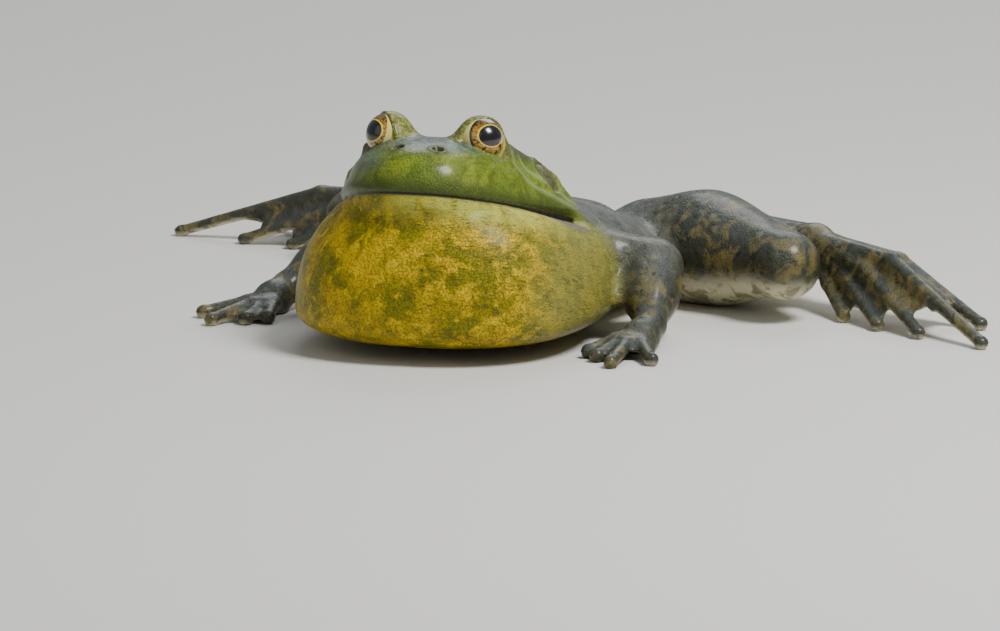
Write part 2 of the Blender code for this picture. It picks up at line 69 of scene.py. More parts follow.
# The head, along its own axes: back from the lip's tip, to its left, and up from the mouth's plane.
LIP_TIP = (13.3, 0.0, 49.7)
HEAD_TURN = math.radians(14.0)
HEAD_PITCH = math.radians(15.5)
JAW_LENGTH = 58.0
JAW_HALF_WIDTH = 34.0
HEAD_BACK = 9.0
HEAD_RISE = (
    (0, 24.0), (4, 23.4), (8, 22.0), (15, 21.4), (26, 20.7),
    (36, 18.9), (45, 17.4), (58, 12.5), (80, 8.0),
)
HEAD_ROUNDNESS = 1.71
LIP_DROP = 3.0
EYE_CENTRE = (24.5, 13.5, 18.0)
EYE_RADIUS = 6.6
LID_THICKNESS = 0.35
EYE_FILLET = 5.0
SOCKET_GAP = 0.9
EYE_OPENING_WIDE = math.radians(73.0)
EYE_OPENING_TALL = math.radians(60.0)
EYE_TURN = {1: math.radians(40.0), -1: math.radians(52.0)}
EYE_LIFT = math.radians(15.5)
GAZE_TURN = {"left": math.radians(47.0), "right": math.radians(39.0)}
GAZE_LIFT = math.radians(19.0)

# On an eyeball of radius one: the white's crescent, the cornea and the pupil.
CRESCENT_SHIFT = {"left": 0.0, "right": 0.14}
CRESCENT_RADIUS = 0.85
CRESCENT_EDGE = 0.25
CORNEA_RADIUS = 0.84
CORNEA_HEIGHT = 0.07
PUPIL_HALF_WIDTH = 0.565
PUPIL_HALF_HEIGHT = 0.46

# The face, again along the head's axes.
EAR_CENTRE = (45.5, 26.6, 9.8)
EAR_AXIS = (0.12, 0.9, 0.42)
EAR_RADIUS = 5.4
NOSTRIL = (8.4, 5.8, 12.9)
MOUTH_CORNER = (57.0, 33.2, -0.6)

# The ridge from the eye over the eardrum to the mouth's corner: places along the head's axes, and radii.
EAR_FOLD = (
    ((28.0, 17.6, 14.6), 3.4), ((33.0, 18.7, 14.6), 3.4), ((38.0, 20.2, 13.9), 2.9),
    ((43.0, 21.8, 12.9), 2.4), ((48.0, 24.4, 11.6), 2.1), ((52.5, 27.4, 8.6), 1.8),
    ((55.5, 30.0, 4.6), 1.5), ((57.0, 31.6, 1.6), 1.2),
)
EAR_FOLD_FILLET = 3.5

# Ridges of the cheek, with a painted highlight along them, from the eye to the mouth's corner: back and up.
CHEEK_RIDGES = (
    ((28.5, 15.5), (29.0, 12.0), (31.0, 8.0), (35.0, 6.2), (40.5, 5.0), (48.0, 3.6), (57.0, 2.2)),
    ((33.0, 14.5), (36.0, 10.5), (41.0, 7.8), (48.0, 5.5), (56.0, 3.6)),
)

# Relief of the face: how high each swelling stands, and how deep each groove or pit goes.
RIDGE_HEIGHT = 0.3
UPPER_LIP_HEIGHT = 0.45
LOWER_LIP_HEIGHT = 0.35
LIP_GROOVE = 0.5
GAP_HALF_HEIGHT = (0.45, 1.1)
GAP_DEPTH = (0.9, 1.7)
NOSTRIL_RIM = 0.35
NOSTRIL_DEPTH = 2.0
DRUM_RING = 0.55
DRUM_GROOVE = 0.8
DRUM_MIDDLE = 0.45
LID_ROLL = 0.22
LID_CREASE = 0.4

# The throat's air sac: middle, and reach to the front, back, sides, top and bottom.
SAC_CENTRE = (46.0, 2.0, 12.0)
SAC_FRONT = 52.0
SAC_BACK = 40.0
SAC_SIDE = 44.0
SAC_TOP = 33.0
SAC_BOTTOM = 10.5
SAC_TOP_SLOPE = 0.277

# The trunk: stations along Y with half its width, its highest and its lowest point.
TRUNK_Y = (40, 50, 62, 75, 90, 105, 120, 135, 148, 158)
TRUNK_HALF_WIDTH = (17, 22, 28.5, 34.5, 37, 35.5, 31, 24, 16, 7)
TRUNK_TOP = (40, 41.5, 41, 39, 35.5, 31, 26, 21, 15, 9)
TRUNK_BOTTOM = (3, 1, -0.6, -0.8, -0.8, -0.8, -0.6, 0.6, 2.5, 4)
TRUNK_FRONT = 40.0
TRUNK_BACK = 161.0
SHOULDER_MUSCLE = (22, 69, 24)
SHOULDER_MUSCLE_RADII = (12, 14, 11)
HIP_MUSCLE = (12, 141, 13)
HIP_MUSCLE_RADII = (12, 16, 9)
MUSCLE_FILLET = 6.0
JAW_FILLET = 1.2
NAPE_FILLET = 8.0
CHEEK_FILLET = 2.5
LIMB_FILLET = 6.0
HAND_FILLET = 1.5

# The limbs of the left side, joint by joint: place and radius.
SHOULDER = ((27, 69, 22), 10.0)
ELBOW = ((48, 80, 18.5), 8.0)
FOREARM_MUSCLE_RADII = (14, 8.2, 8.4)
WRIST = ((60, 57, 6.5), 4.6)
PALM = ((61, 50, 4.0), 5.0)
FINGERS = (
    ((57, 44, 4.2), (53, 34, 2.0)),
    ((59, 41, 4.0), (58, 30, 1.8)),
    ((62, 40, 4.0), (66, 24, 1.7)),
    ((65, 43, 3.8), (74, 33, 1.7)),
)
FINGER_RADII = (2.9, 2.2, 1.8)
HIP = ((12, 143, 14.0), 11.0)
THIGH = ((38, 131, 16.0), 14.0)
THIGH_MUSCLE_RADII = (33, 17, 15.6)
KNEE = ((74, 112, 16.5), 9.6)
CALF = ((56, 130, 15.5), 9.2)
HEEL = ((33, 158, 15.0), 6.6)
TARSUS = ((68, 140.5, 18.0), 5.4)
TOES = (
    ((79, 129, 9.0), (89, 119, 1.9)),
    ((87, 126, 11.0), (104, 112, 1.8)),
    ((94, 124, 15.0), (120, 107, 1.8)),
    ((103, 122.5, 18.6), (143, 102, 1.8)),
    ((99, 134, 16.5), (129, 128, 1.8)),
)
TOE_RADII = (4.0, 2.5, 1.7)
TIP_SWELL = 1.15
WEB_HALF_THICKNESS = 0.7
WEB_REACH = 0.6

# The right leg is the left one mirrored, swung further back from the hip and held lower.
RIGHT_LEG_SWING = math.radians(18.0)
RIGHT_LEG_HEIGHT = 0.85

# The mesh: how far the blank stands out, rounds of settling and of softening, the longest moves of a
# vertex, its share of spreading, the gentlest slope it trusts, and a distance that counts as far off.
BLANK_SWELL = 0.8
BLANK_ROUNDS = 10
SKIN_ROUNDS = 8
FINE_ROUNDS = 8
MOUTH_ROUNDS = 9
LID_ROUNDS = 7
LONGEST_MOVE = 2.0
LONGEST_FINE_MOVE = 0.5
SPREAD = 0.5
GENTLEST_SLOPE = 0.3
FAR = 40.0
MOST_TRIANGLES = 200000

# The box that holds the face, and the far corner of the one that holds the mouth's line.
FACE_LOW = (-35, -14, 22)
FACE_HIGH = (60, 75, 80)
MOUTH_HIGH = (60, 60, 80)

# The middle of the view, and the lamps: how far round to the frog's left and how high in degrees,
# then the distance and the size in metres.
VIEW_AIM = (16.1, 47.8, 6.7)
LAMPS = {"key": (84, 56, 1.1, 0.35), "fill": (-10, 30, 1.4, 1.2), "back": (200, 40, 1.4, 0.8)}
SKY_COLOUR = (0.9, 0.95, 1.0, 1.0)
SKY_STRENGTH = 0.27
FLOOR_SIZE = 12.0


def through(stations, values, where):
    """A smooth curve through the values at the stations, level with the ends beyond them."""
    stations = np.asarray(stations, float)
    values = np.asarray(values, float)
    slopes = np.gradient(values, stations)
    where = np.clip(where, stations[0], stations[-1])
    index = np.clip(np.searchsorted(stations, where) - 1, 0, len(stations) - 2)
    width = stations[index + 1] - stations[index]
    t = (where - stations[index]) / width
    rise = (1 + 2 * t) * (1 - t) ** 2 * values[index] + t * (1 - t) ** 2 * width * slopes[index]
    fall = t * t * (3 - 2 * t) * values[index + 1] + t * t * (t - 1) * width * slopes[index + 1]
    return rise + fall


def join(first, second, width):
    """Both forms, with a fillet of about the width where they meet."""
    overlap = np.maximum(width - np.abs(first - second), 0.0) / width
    return np.minimum(first, second) - overlap * overlap * width * 0.25


def length(vectors):
    return np.sqrt(np.einsum("ij,ij->i", vectors, vectors))


def bell(distance, width):
    return np.exp(-(distance / width) ** 2)


def step(value, start, end):
    """From 0 at the start to 1 at the end, smoothly."""
    t = np.clip((value - start) / (end - start), 0.0, 1.0)
    return t * t * (3 - 2 * t)


def limb(points, start, end, start_radius, end_radius):
    """A tapered rod with round ends."""
    start = np.asarray(start, float)
    along = np.asarray(end, float) - start
    share = np.clip((points - start) @ along / (along @ along), 0.0, 1.0)
    reach = length(points - start - share[:, None] * along)
    return reach - (start_radius + (end_radius - start_radius) * share)


def ellipsoid(points, centre, radii, axes=None):
    """An ellipsoid, with its radii along the rows of axes."""
    local = points - np.asarray(centre, float)
    if axes is not None:
        local = local @ np.asarray(axes, float).T
    radii = np.asarray(radii, float)
    near = length(local / radii)
    slope = length(local / (radii * radii))
    return near * (near - 1.0) / np.maximum(slope, 1e-6)


def bulge(points, start, end, share, radii):
    """A muscle: an ellipsoid laid along a bone, its middle at a share of the bone's length."""
    start = Vector(start)
    along = (Vector(end) - start).normalized()
    side = along.cross(Vector((0, 0, 1))).normalized()
    middle = start.lerp(Vector(end), share)
    return ellipsoid(points, middle, radii, (along, side, along.cross(side)))


def slope_of(form, points, value):
    tiny = 0.02
    slopes = [(form(points + offset) - value) / tiny for offset in np.eye(3) * tiny]
    return np.stack(slopes, axis=1)


def level(measure, points):
    """The surface where a measure is one, made close to a distance by its own slope."""
    value = measure(points)
    return (value - 1.0) / np.maximum(length(slope_of(measure, points, value)), 1e-4)


def in_box(points, low, high):
    return np.all((points > np.array(low)) & (points < np.array(high)), axis=1)


def within(points, low, high, form):
    """A form worked out only inside its box, and far outside it."""
    inside = in_box(points, low, high)
    result = np.full(len(points), FAR)
    if inside.any():
        result[inside] = form(points[inside])
    return result


def head_axes():
    back = Vector((-math.sin(HEAD_TURN), math.cos(HEAD_TURN), 0))
    left = Vector((math.cos(HEAD_TURN), math.sin(HEAD_TURN), 0))
    tilt = Matrix.Rotation(-HEAD_PITCH, 3, left)
    return tilt @ back, left, tilt @ Vector((0, 0, 1))


HEAD_AXES = head_axes()


def head_local(points):
    return (points - LIP_TIP) @ np.array(HEAD_AXES).T


def mirrored_head(points):
    """Places along the head's axes, with its right side laid over its left."""
    return np.abs(head_local(points)) * (0, 1, 0) + head_local(points) * (1, 0, 1)


def head_world(place):
    back, left, up = HEAD_AXES
    return Vector(LIP_TIP) + back * place[0] + left * place[1] + up * place[2]


def eye_place(side):
    return head_world((EYE_CENTRE[0], side * EYE_CENTRE[1], EYE_CENTRE[2]))


def eye_axis(side):
    """Where the eye looks: out to its side of straight ahead, and a little up."""
    heading = math.pi * 1.5 + HEAD_TURN + side * EYE_TURN[side]
    flat = Vector((math.cos(heading), math.sin(heading), 0)) * math.cos(EYE_LIFT)
    return flat + Vector((0, 0, math.sin(EYE_LIFT)))


def outline(back, left):
    """One at the edge of the mouth seen from above: a blunt round snout, widest at the jaw's corner."""
    ahead = np.clip(1.0 - back / JAW_LENGTH, 0.0, None) ** 1.3
    behind = (np.clip(back - JAW_LENGTH, 0.0, None) / HEAD_BACK) ** 2
    return (np.abs(left) / JAW_HALF_WIDTH) ** 2.4, ahead + behind


def head_measure(points):
    back, left, up = head_local(points).T
    across, along = outline(back, left)
    height = np.abs(up) / np.where(up > 0, through(*zip(*HEAD_RISE), back), LIP_DROP)
    height = height ** (1.5 + 1.1 * step(back, 34.0, 48.0))
    return across + (along ** HEAD_ROUNDNESS + height ** HEAD_ROUNDNESS) ** (1.0 / HEAD_ROUNDNESS)


def fold_form(points):
    """The round ridge over the eardrum."""
    form = np.full(len(points), FAR)
    for (start, start_radius), (end, end_radius) in zip(EAR_FOLD, EAR_FOLD[1:]):
        form = np.minimum(form, limb(points, start, end, start_radius, end_radius))
    return form


def ridge_distance(back, up, places):
    """How far each point lies from a line over the cheek, seen from the side."""
    points = np.stack((back, up), axis=1)
    form = np.full(len(points), FAR)
    for start, end in zip(places, places[1:]):
        form = np.minimum(form, limb(points, start, end, 0.0, 0.0))
    return form


def head_form(points):
    form = level(head_measure, points)
    for _, side in SIDES:
        eye = np.array(eye_place(side))
        form = join(form, length(points - eye) - EYE_RADIUS - LID_THICKNESS, EYE_FILLET)
    return join(form, fold_form(mirrored_head(points)), EAR_FOLD_FILLET)


def sac_measure(points):
    flat_back = np.array((-math.sin(HEAD_TURN), math.cos(HEAD_TURN), 0.0))
    flat_left = np.array((math.cos(HEAD_TURN), math.sin(HEAD_TURN), 0.0))
    offset = points - (LIP_TIP[0], LIP_TIP[1], 0.0)
    back = offset @ flat_back - SAC_CENTRE[0]
    left = offset @ flat_left - SAC_CENTRE[1]
    up = points[:, 2] - SAC_CENTRE[2]
    ahead = np.abs(back) / np.where(back < 0, SAC_FRONT, SAC_BACK)
    top = SAC_TOP - SAC_TOP_SLOPE * np.clip(back, -SAC_FRONT, 0.0)
    height = np.abs(up) / np.where(up > 0, top, SAC_BOTTOM)
    return ahead ** 2.7 + (np.abs(left) / SAC_SIDE) ** 2.4 + height ** np.where(up > 0, 2.0, 2.7)


def jaw_measure(points):
    back, left, up = head_local(points).T
    across, along = outline(back - 1.2, left * 1.05)
    height = (np.abs(up + 1.0) / 10.0) ** (2.0 * HEAD_ROUNDNESS)
    return across + (along ** HEAD_ROUNDNESS + height) ** (1.0 / HEAD_ROUNDNESS)


def throat_form(points):
    """The air sac up to the mouth's plane, and the lower jaw."""
    back, _, up = head_local(points).T
    below_mouth = up + 0.4 - np.maximum(back - 56.0, 0.0)
    sac = -join(-level(sac_measure, points), -below_mouth, 5.0)
    return join(sac, level(jaw_measure, points), 4.0)


def trunk_measure(points):
    across, along, up = points.T
    half_width = through(TRUNK_Y, TRUNK_HALF_WIDTH, along)
    top = through(TRUNK_Y, TRUNK_TOP, along)
    bottom = through(TRUNK_Y, TRUNK_BOTTOM, along)
    middle = bottom + (top - bottom) * 0.45
    height = np.where(up > middle, (up - middle) / (top - middle), (middle - up) / (middle - bottom))
    beyond = np.maximum(np.maximum(along - TRUNK_BACK, TRUNK_FRONT - along) + 6.0, 0.0) / 6.0
    across = np.abs(across) / half_width
    return across ** 2.2 + height ** np.where(up > middle, 2.2, 3.0) + beyond ** 2


def trunk_form(points):
    left_side = np.abs(points) * (1, 0, 0) + points * (0, 1, 1)
    form = level(trunk_measure, points)
    form = join(form, ellipsoid(left_side, SHOULDER_MUSCLE, SHOULDER_MUSCLE_RADII), MUSCLE_FILLET)
    return join(form, ellipsoid(left_side, HIP_MUSCLE, HIP_MUSCLE_RADII), MUSCLE_FILLET)


def digits_form(points, root, digits, radii):
    """Fingers or toes from one root, each of two bones that taper to a soft tip."""
    form = ellipsoid(points, root[0], (root[1], root[1], root[1]))
    for knuckle, tip in digits:
        form = join(form, limb(points, root[0], knuckle, radii[0], radii[1]), 1.6)
        form = join(form, limb(points, knuckle, tip, radii[1], radii[2]), 1.2)
        form = join(form, length(points - tip) - radii[2] * TIP_SWELL, 1.0)
    return form


def arm_form(points):
    form = limb(points, SHOULDER[0], ELBOW[0], SHOULDER[1], ELBOW[1])
    lower = limb(points, ELBOW[0], WRIST[0], ELBOW[1], WRIST[1])
    lower = join(lower, bulge(points, ELBOW[0], WRIST[0], 0.36, FOREARM_MUSCLE_RADII), 4.0)
    return join(form, lower, 3.0)


def hand_form(points):
    form = digits_form(points, PALM, FINGERS, FINGER_RADII)
    return join(form, limb(points, WRIST[0], PALM[0], WRIST[1], PALM[1] - 0.6), 3.0)


def plate(points, corners, half_thickness):
    """A thin three-cornered web with a round edge."""
    a, b, c = (np.array(corner, float) for corner in corners)
    normal = np.cross(b - a, c - a)
    normal /= np.linalg.norm(normal)
    height = (points - a) @ normal
    flat = points - height[:, None] * normal
    inside = np.full(len(points), -1e9)
    edge = np.full(len(points), 1e9)
    for start, end in ((a, b), (b, c), (c, a)):
        outward = np.cross(end - start, normal)
        outward /= np.linalg.norm(outward)
        inside = np.maximum(inside, (flat - start) @ outward)
        edge = np.minimum(edge, limb(flat, start, end, 0.0, 0.0))
    away = np.where(inside < 0, 0.0, edge)
    return np.sqrt(height * height + away * away) - half_thickness


def web_corners(root, toes):
    """Triangles of web: from the root to each pair of knuckles, and on towards the tips."""
    for (knuckle, tip), (next_knuckle, next_tip) in zip(toes, toes[1:]):
        near = Vector(knuckle).lerp(Vector(tip), WEB_REACH)
        far = Vector(next_knuckle).lerp(Vector(next_tip), WEB_REACH)
        yield root, knuckle, next_knuckle
        yield knuckle, next_knuckle, near
        yield next_knuckle, near, far


def foot_form(points):
    form = digits_form(points, TARSUS, TOES, TOE_RADII)
    for corners in web_corners(TARSUS[0], TOES):
        form = join(form, plate(points, corners, WEB_HALF_THICKNESS), 0.8)
    return form


def leg_form(points):
    thigh = limb(points, HIP[0], THIGH[0], HIP[1], THIGH[1])
    thigh = join(thigh, limb(points, THIGH[0], KNEE[0], THIGH[1], KNEE[1]), 6.0)
    thigh = join(thigh, bulge(points, HIP[0], KNEE[0], 0.42, THIGH_MUSCLE_RADII), 5.0)
    shank = limb(points, KNEE[0], CALF[0], KNEE[1], CALF[1])
    shank = join(shank, limb(points, CALF[0], HEEL[0], CALF[1], HEEL[1]), 6.0)
    form = join(thigh, shank, 1.5)
    form = join(form, limb(points, HEEL[0], TARSUS[0], HEEL[1], TARSUS[1]), 2.0)
    foot = within(points, (55, 90, -15), (160, 160, 35), foot_form)
    return join(form, foot, 2.0)


def left_arm_place(points):
    """The left arm's place for every point of the right arm, and the other way round."""
    return points * (-1.0, 1.0, 1.0)


def swung(points, turn):
    """Places turned about the left hip's upright axis."""
    cosine = math.cos(turn)
    sine = math.sin(turn)
    swing = np.array(((cosine, -sine, 0), (sine, cosine, 0), (0, 0, 1)))
    hip = np.array((HIP[0][0], HIP[0][1], 0.0))
    return (points - hip) @ swing.T + hip


def left_leg_place(points):
    """The left leg's place for every point of the right leg."""
    return swung(points * (-1.0, 1.0, 1.0 / RIGHT_LEG_HEIGHT), -RIGHT_LEG_SWING)


def right_leg_place(points):
    """The right leg's place for every point of the left leg."""
    return swung(points, RIGHT_LEG_SWING) * (-1.0, 1.0, RIGHT_LEG_HEIGHT)


def neck_width(points):
    """The width of the fillet behind the head: broad over the nape, narrow behind the cheeks."""
    left = np.abs(head_local(points)[:, 1])
    return CHEEK_FILLET + (NAPE_FILLET - CHEEK_FILLET) * (1.0 - step(left, 10.0, 24.0))


def body_form(points):
    """The whole frog without its fine folds."""
    head = within(points, (-60, -40, -20), (90, 120, 110), head_form)
    throat = within(points, (-70, -40, -20), (90, 130, 90), throat_form)
    trunk = within(points, (-75, 0, -25), (75, 190, 75), trunk_form)
    form = join(join(head, throat, JAW_FILLET), trunk, neck_width(points))
    for arm_points in (points, left_arm_place(points)):
        form = join(form, within(arm_points, (-10, 0, -15), (105, 115, 60), arm_form), LIMB_FILLET)
        form = join(form, within(arm_points, (30, 10, -15), (100, 75, 30), hand_form), HAND_FILLET)
    for leg_points in (points, left_leg_place(points)):
        form = join(form, within(leg_points, (-25, 75, -15), (165, 185, 55), leg_form), LIMB_FILLET)
    return form


def eye_rim(points, side):
    """Each point's reach from the eye's centre, and how far it lies outside the opening's edge."""
    offset = points - np.array(eye_place(side))
    reach = np.maximum(length(offset), 1e-6)
    axis = eye_axis(side)
    facing = np.clip(offset @ np.array(axis) / reach, -1.0, 1.0)
    sideways = offset @ np.array(Vector((axis.y, -axis.x, 0)).normalized()) / reach
    wide = np.clip(sideways ** 2 / np.maximum(1.0 - facing ** 2, 1e-6), 0.0, 1.0) ** 2
    opening = EYE_OPENING_TALL + (EYE_OPENING_WIDE - EYE_OPENING_TALL) * wide
    return reach, (np.arccos(facing) - opening) * EYE_RADIUS


def lidded(points, form):
    """The form with a rolled lid round each eye, and a hollow where the eyeball lies."""
    for _, side in SIDES:
        reach, outside = eye_rim(points, side)
        near = bell(np.maximum(reach - EYE_RADIUS, 0.0), 2.5)
        lower = step(np.array(eye_place(side))[2] - points[:, 2], -3.0, 2.0)
        form = form - near * LID_ROLL * bell(outside - 0.8, 0.5)
        form = form + near * lower * LID_CREASE * bell(outside - 2.1, 0.6)
        flare = outside - 0.3 * np.maximum(reach - EYE_RADIUS, 0.0)
        hollow = 1.0 - step(reach, EYE_RADIUS + 1.4, EYE_RADIUS + 3.2)
        hollow = (1.0 - step(flare, -0.35, 0.4)) * hollow
        form = form + hollow * (reach - EYE_RADIUS + SOCKET_GAP - form)
    return form


def gap_half_height(back):
    """Half the height of the slit between the lips: narrow in front, wider behind."""
    front, rear = GAP_HALF_HEIGHT
    return front + (rear - front) * step(back, 14.0, 46.0)


def gap_depth(back):
    front, rear = GAP_DEPTH
    return (front + (rear - front) * step(back, 10.0, 44.0)) * (1.0 - step(back, 54.5, 57.5))


def eardrum_place(mirrored):
    """The reach from the eardrum's axis, and 1 on the level of the eardrum and 0 away from it."""
    axis = np.array(Vector(EAR_AXIS).normalized())
    offset = mirrored - np.array(EAR_CENTRE)
    outward = offset @ axis
    return length(offset - outward[:, None] * axis), step(np.abs(outward), 5.0, 3.0)


def faced(points, form):
    """The form with the mouth, lips, nostrils, eardrums and the folds of the face."""
    mirrored = mirrored_head(points)
    back, left, up = mirrored.T
    cheek = step(left, 14.0, 19.0)
    for places in CHEEK_RIDGES:
        form = form - RIDGE_HEIGHT * cheek * bell(ridge_distance(back, up, places), 1.0)
    form = join(form, ellipsoid(mirrored, MOUTH_CORNER, (2.6, 1.6, 2.0)), 1.4)
    along_lip = step(back, 2.0, 12.0) * (1.0 - step(back, 52.0, 58.0))
    form = form - UPPER_LIP_HEIGHT * along_lip * bell(up - 1.7, 1.5)
    form = form + LIP_GROOVE * along_lip * bell(up - 6.0, 2.6)
    gap = gap_half_height(back)
    form = form - LOWER_LIP_HEIGHT * along_lip * bell(up + 2.2 * gap + 1.2, 1.2)
    form = form + gap_depth(back) * bell(up + 0.9 * gap, gap)
    nostril = length(mirrored - np.array(NOSTRIL))
    form = form - NOSTRIL_RIM * bell(nostril - 2.1, 0.9) + NOSTRIL_DEPTH * bell(nostril, 1.1)
    across, drum = eardrum_place(mirrored)
    ring = DRUM_RING * bell(across - EAR_RADIUS - 0.7, 0.8)
    ring = ring - DRUM_GROOVE * bell(across - EAR_RADIUS + 0.7, 0.9)
    return form - drum * (ring + DRUM_MIDDLE * bell(across, 2.6))


def skin_form(points):
    """The whole frog with the folds, lids and lips of its face."""
    form = body_form(points)
    inside = in_box(points, FACE_LOW, FACE_HIGH)
    if inside.any():
        form[inside] = faced(points[inside], form[inside])
        form[inside] = lidded(points[inside], form[inside])
    return form


def neighbour_means(points, edges):
    """The middle of each vertex's neighbours."""
    links = np.bincount(edges.ravel(), minlength=len(points)).astype(float)
    means = np.zeros_like(points)
    for axis in range(3):
        first = np.bincount(edges[:, 0], points[edges[:, 1], axis], len(points))
        second = np.bincount(edges[:, 1], points[edges[:, 0], axis], len(points))
        means[:, axis] = (first + second) / links
    return means


def settled(points, edges, form, rounds, free, longest):
    """Vertices drawn onto the form's surface, and spread evenly along it on the way."""
    for turn in range(rounds):
        moving = points[free]
        value = form(moving)
        slope = slope_of(form, moving, value)
        steep = np.maximum(np.einsum("ij,ij->i", slope, slope), GENTLEST_SLOPE)
        move = -(value / steep)[:, None] * slope
        far = np.maximum(length(move), 1e-9)
        points[free] = moving + move * np.minimum(1.0, longest / far)[:, None]
        if turn == rounds - 1:
            break
        drift = (neighbour_means(points, edges) - points)[free]
        drift -= (np.einsum("ij,ij->i", drift, slope) / steep)[:, None] * slope
        points[free] += SPREAD * drift
    return points


def settle(piece, form, rounds, free=None):
    """Draw a piece's vertices, or only the free ones, onto a form."""
    mesh = piece.data
    points = read_places(mesh)
    longest = LONGEST_MOVE if free is None else LONGEST_FINE_MOVE
    free = np.ones(len(points), bool) if free is None else free
    points = settled(points, edge_ends(mesh), form, rounds, free, longest)
    points[:, 2] = np.maximum(points[:, 2], 0.0)
    write_places(mesh, points)


def soften(piece, chosen, rounds):
    """Even out the chosen vertices, each towards the middle of its neighbours."""
    mesh = piece.data
    points = read_places(mesh)
    edges = edge_ends(mesh)
    wanted = chosen(points)
    for _ in range(rounds):
        points[wanted] += SPREAD * (neighbour_means(points, edges) - points)[wanted]
    write_places(mesh, points)


def only(objects):
    """Deselect everything, then select these and make the last one active."""
    bpy.ops.object.select_all(action="DESELECT")
    for piece in objects:
        piece.select_set(True)
    bpy.context.view_layer.objects.active = objects[-1]


def add_ball(centre, radii, along=(0, 0, 1)):
    """A sphere stretched to its radii, with its third axis laid along a direction."""
    bpy.ops.mesh.primitive_uv_sphere_add(segments=24, ring_count=16, radius=1.0)
    ball = bpy.context.active_object
    turn = Vector(along).to_track_quat("Z", "X").to_matrix().to_4x4()
    ball.data.transform(Matrix.Translation(Vector(centre)) @ turn @ Matrix.Diagonal((*radii, 1.0)))
    return ball


def add_rod(start, end, radius):
    """A bar with round ends, a little beyond its joints."""
    start = Vector(start)
    end = Vector(end)
    along = end - start
    bpy.ops.mesh.primitive_cylinder_add(vertices=20, radius=radius, depth=along.length)
    bar = bpy.context.active_object
    turn = along.to_track_quat("Z", "X").to_matrix().to_4x4()
    bar.data.transform(Matrix.Translation(start.lerp(end, 0.5)) @ turn)
    ball_radii = (radius * 1.15, radius * 1.15, radius * 1.15)
    return [bar, add_ball(start, ball_radii), add_ball(end, ball_radii)]


def add_slab(corners, thickness):
    """A flat three-cornered plate."""
    bpy.ops.mesh.primitive_circle_add(vertices=3, fill_type="NGON")
    slab = bpy.context.active_object
    for vert, corner in zip(slab.data.vertices, corners):
        vert.co = Vector(corner)
    thicken = slab.modifiers.new("thickness", "SOLIDIFY")
    thicken.thickness = thickness
    thicken.offset = 0.0
    bpy.ops.object.modifier_apply(modifier=thicken.name)
    return slab


def add_digits(root, digits, radius):
    rods = [add_ball(root[0], (root[1], root[1], root[1]))]
    for knuckle, tip in digits:
        rods += add_rod(root[0], knuckle, radius) + add_rod(knuckle, tip, radius * 0.85)
    return rods


def add_limbs():
    """The left side's limbs as plain rods, and their copies on the right."""
    arm = add_rod(SHOULDER[0], ELBOW[0], 8) + add_rod(ELBOW[0], WRIST[0], 6.5)
    arm += add_rod(WRIST[0], PALM[0], 4) + add_digits(PALM, FINGERS, 2.3)
    leg = add_rod(HIP[0], THIGH[0], 12) + add_rod(THIGH[0], KNEE[0], 10) + add_rod(KNEE[0], CALF[0], 8.5)
    leg += add_rod(CALF[0], HEEL[0], 7) + add_rod(HEEL[0], TARSUS[0], 5.5)
    leg += add_digits(TARSUS, TOES, 2.6)
    leg += [add_slab(corners, 3.0) for corners in web_corners(TARSUS[0], TOES)]
    pieces = []
    for limb_pieces, place_back in ((arm, left_arm_place), (leg, right_leg_place)):
        only(limb_pieces)
        bpy.ops.object.join()
        joined = bpy.context.active_object
        bpy.ops.object.duplicate()
        other = bpy.context.active_object
        other.data = other.data.copy()
        write_places(other.data, place_back(read_places(other.data)))
        other.data.flip_normals()
        pieces += [joined, other]
    return pieces


def read_places(mesh):
    points = np.zeros(len(mesh.vertices) * 3)
    mesh.vertices.foreach_get("co", points)
    return points.reshape(-1, 3)


def write_places(mesh, points):
    mesh.vertices.foreach_set("co", points.ravel())
    mesh.update()


def edge_ends(mesh):
    edges = np.zeros(len(mesh.edges) * 2, dtype=np.int32)
    mesh.edges.foreach_get("vertices", edges)
    return edges.reshape(-1, 2)


def make_blank():
    """The frog's blank: primitives that will be fused into one closed mesh."""
    pieces = [
        add_ball(head_world((38, 0, 5)), (30, 29, 12)),
        add_ball(head_world((20, 0, 5)), (20, 18, 11)),
        add_ball(head_world((22, 0, -12)), (23, 23, 13)),
        add_ball((4, 40, 18), (42, 42, 19)),
        add_ball((0, 98, 18), (33, 58, 19)),
        add_ball((0, 62, 24), (30, 24, 18)),
    ]
    pieces += [add_ball(eye_place(side), (7.5, 7.5, 7.5)) for _, side in SIDES]
    pieces += add_limbs()
    only(pieces)
    bpy.ops.object.join()
    blank = bpy.context.active_object
    blank.name = "skin"
    blank.data.name = "skin"
    return blank


def remesh(piece, voxel):
    only([piece])
    fuse = piece.modifiers.new("fuse", "REMESH")
    fuse.mode = "VOXEL"
    fuse.voxel_size = voxel
    bpy.ops.object.modifier_apply(modifier=fuse.name)


def refine(piece, wanted):
    """Cut the faces whose middles are wanted into four; the vertices of those faces."""
    mesh = piece.data
    centres = np.zeros(len(mesh.polygons) * 3)
    mesh.polygons.foreach_get("center", centres)
    chosen = wanted(centres.reshape(-1, 3))
    mesh.vertices.foreach_set("select", np.zeros(len(mesh.vertices), bool))
    mesh.edges.foreach_set("select", np.zeros(len(mesh.edges), bool))
    mesh.polygons.foreach_set("select", chosen)
    only([piece])
    bpy.ops.object.mode_set(mode="EDIT")
    bpy.ops.mesh.select_mode(type="FACE")
    bpy.ops.mesh.subdivide(number_cuts=1)
    bpy.ops.object.mode_set(mode="OBJECT")
    picked = np.zeros(len(mesh.vertices), bool)
    mesh.vertices.foreach_get("select", picked)
    return picked


def needs_detail(points):
    """The head down to the lower lip."""
    return in_box(mirrored_head(points), (-10, -1, -6.5), (61, 40, 40))


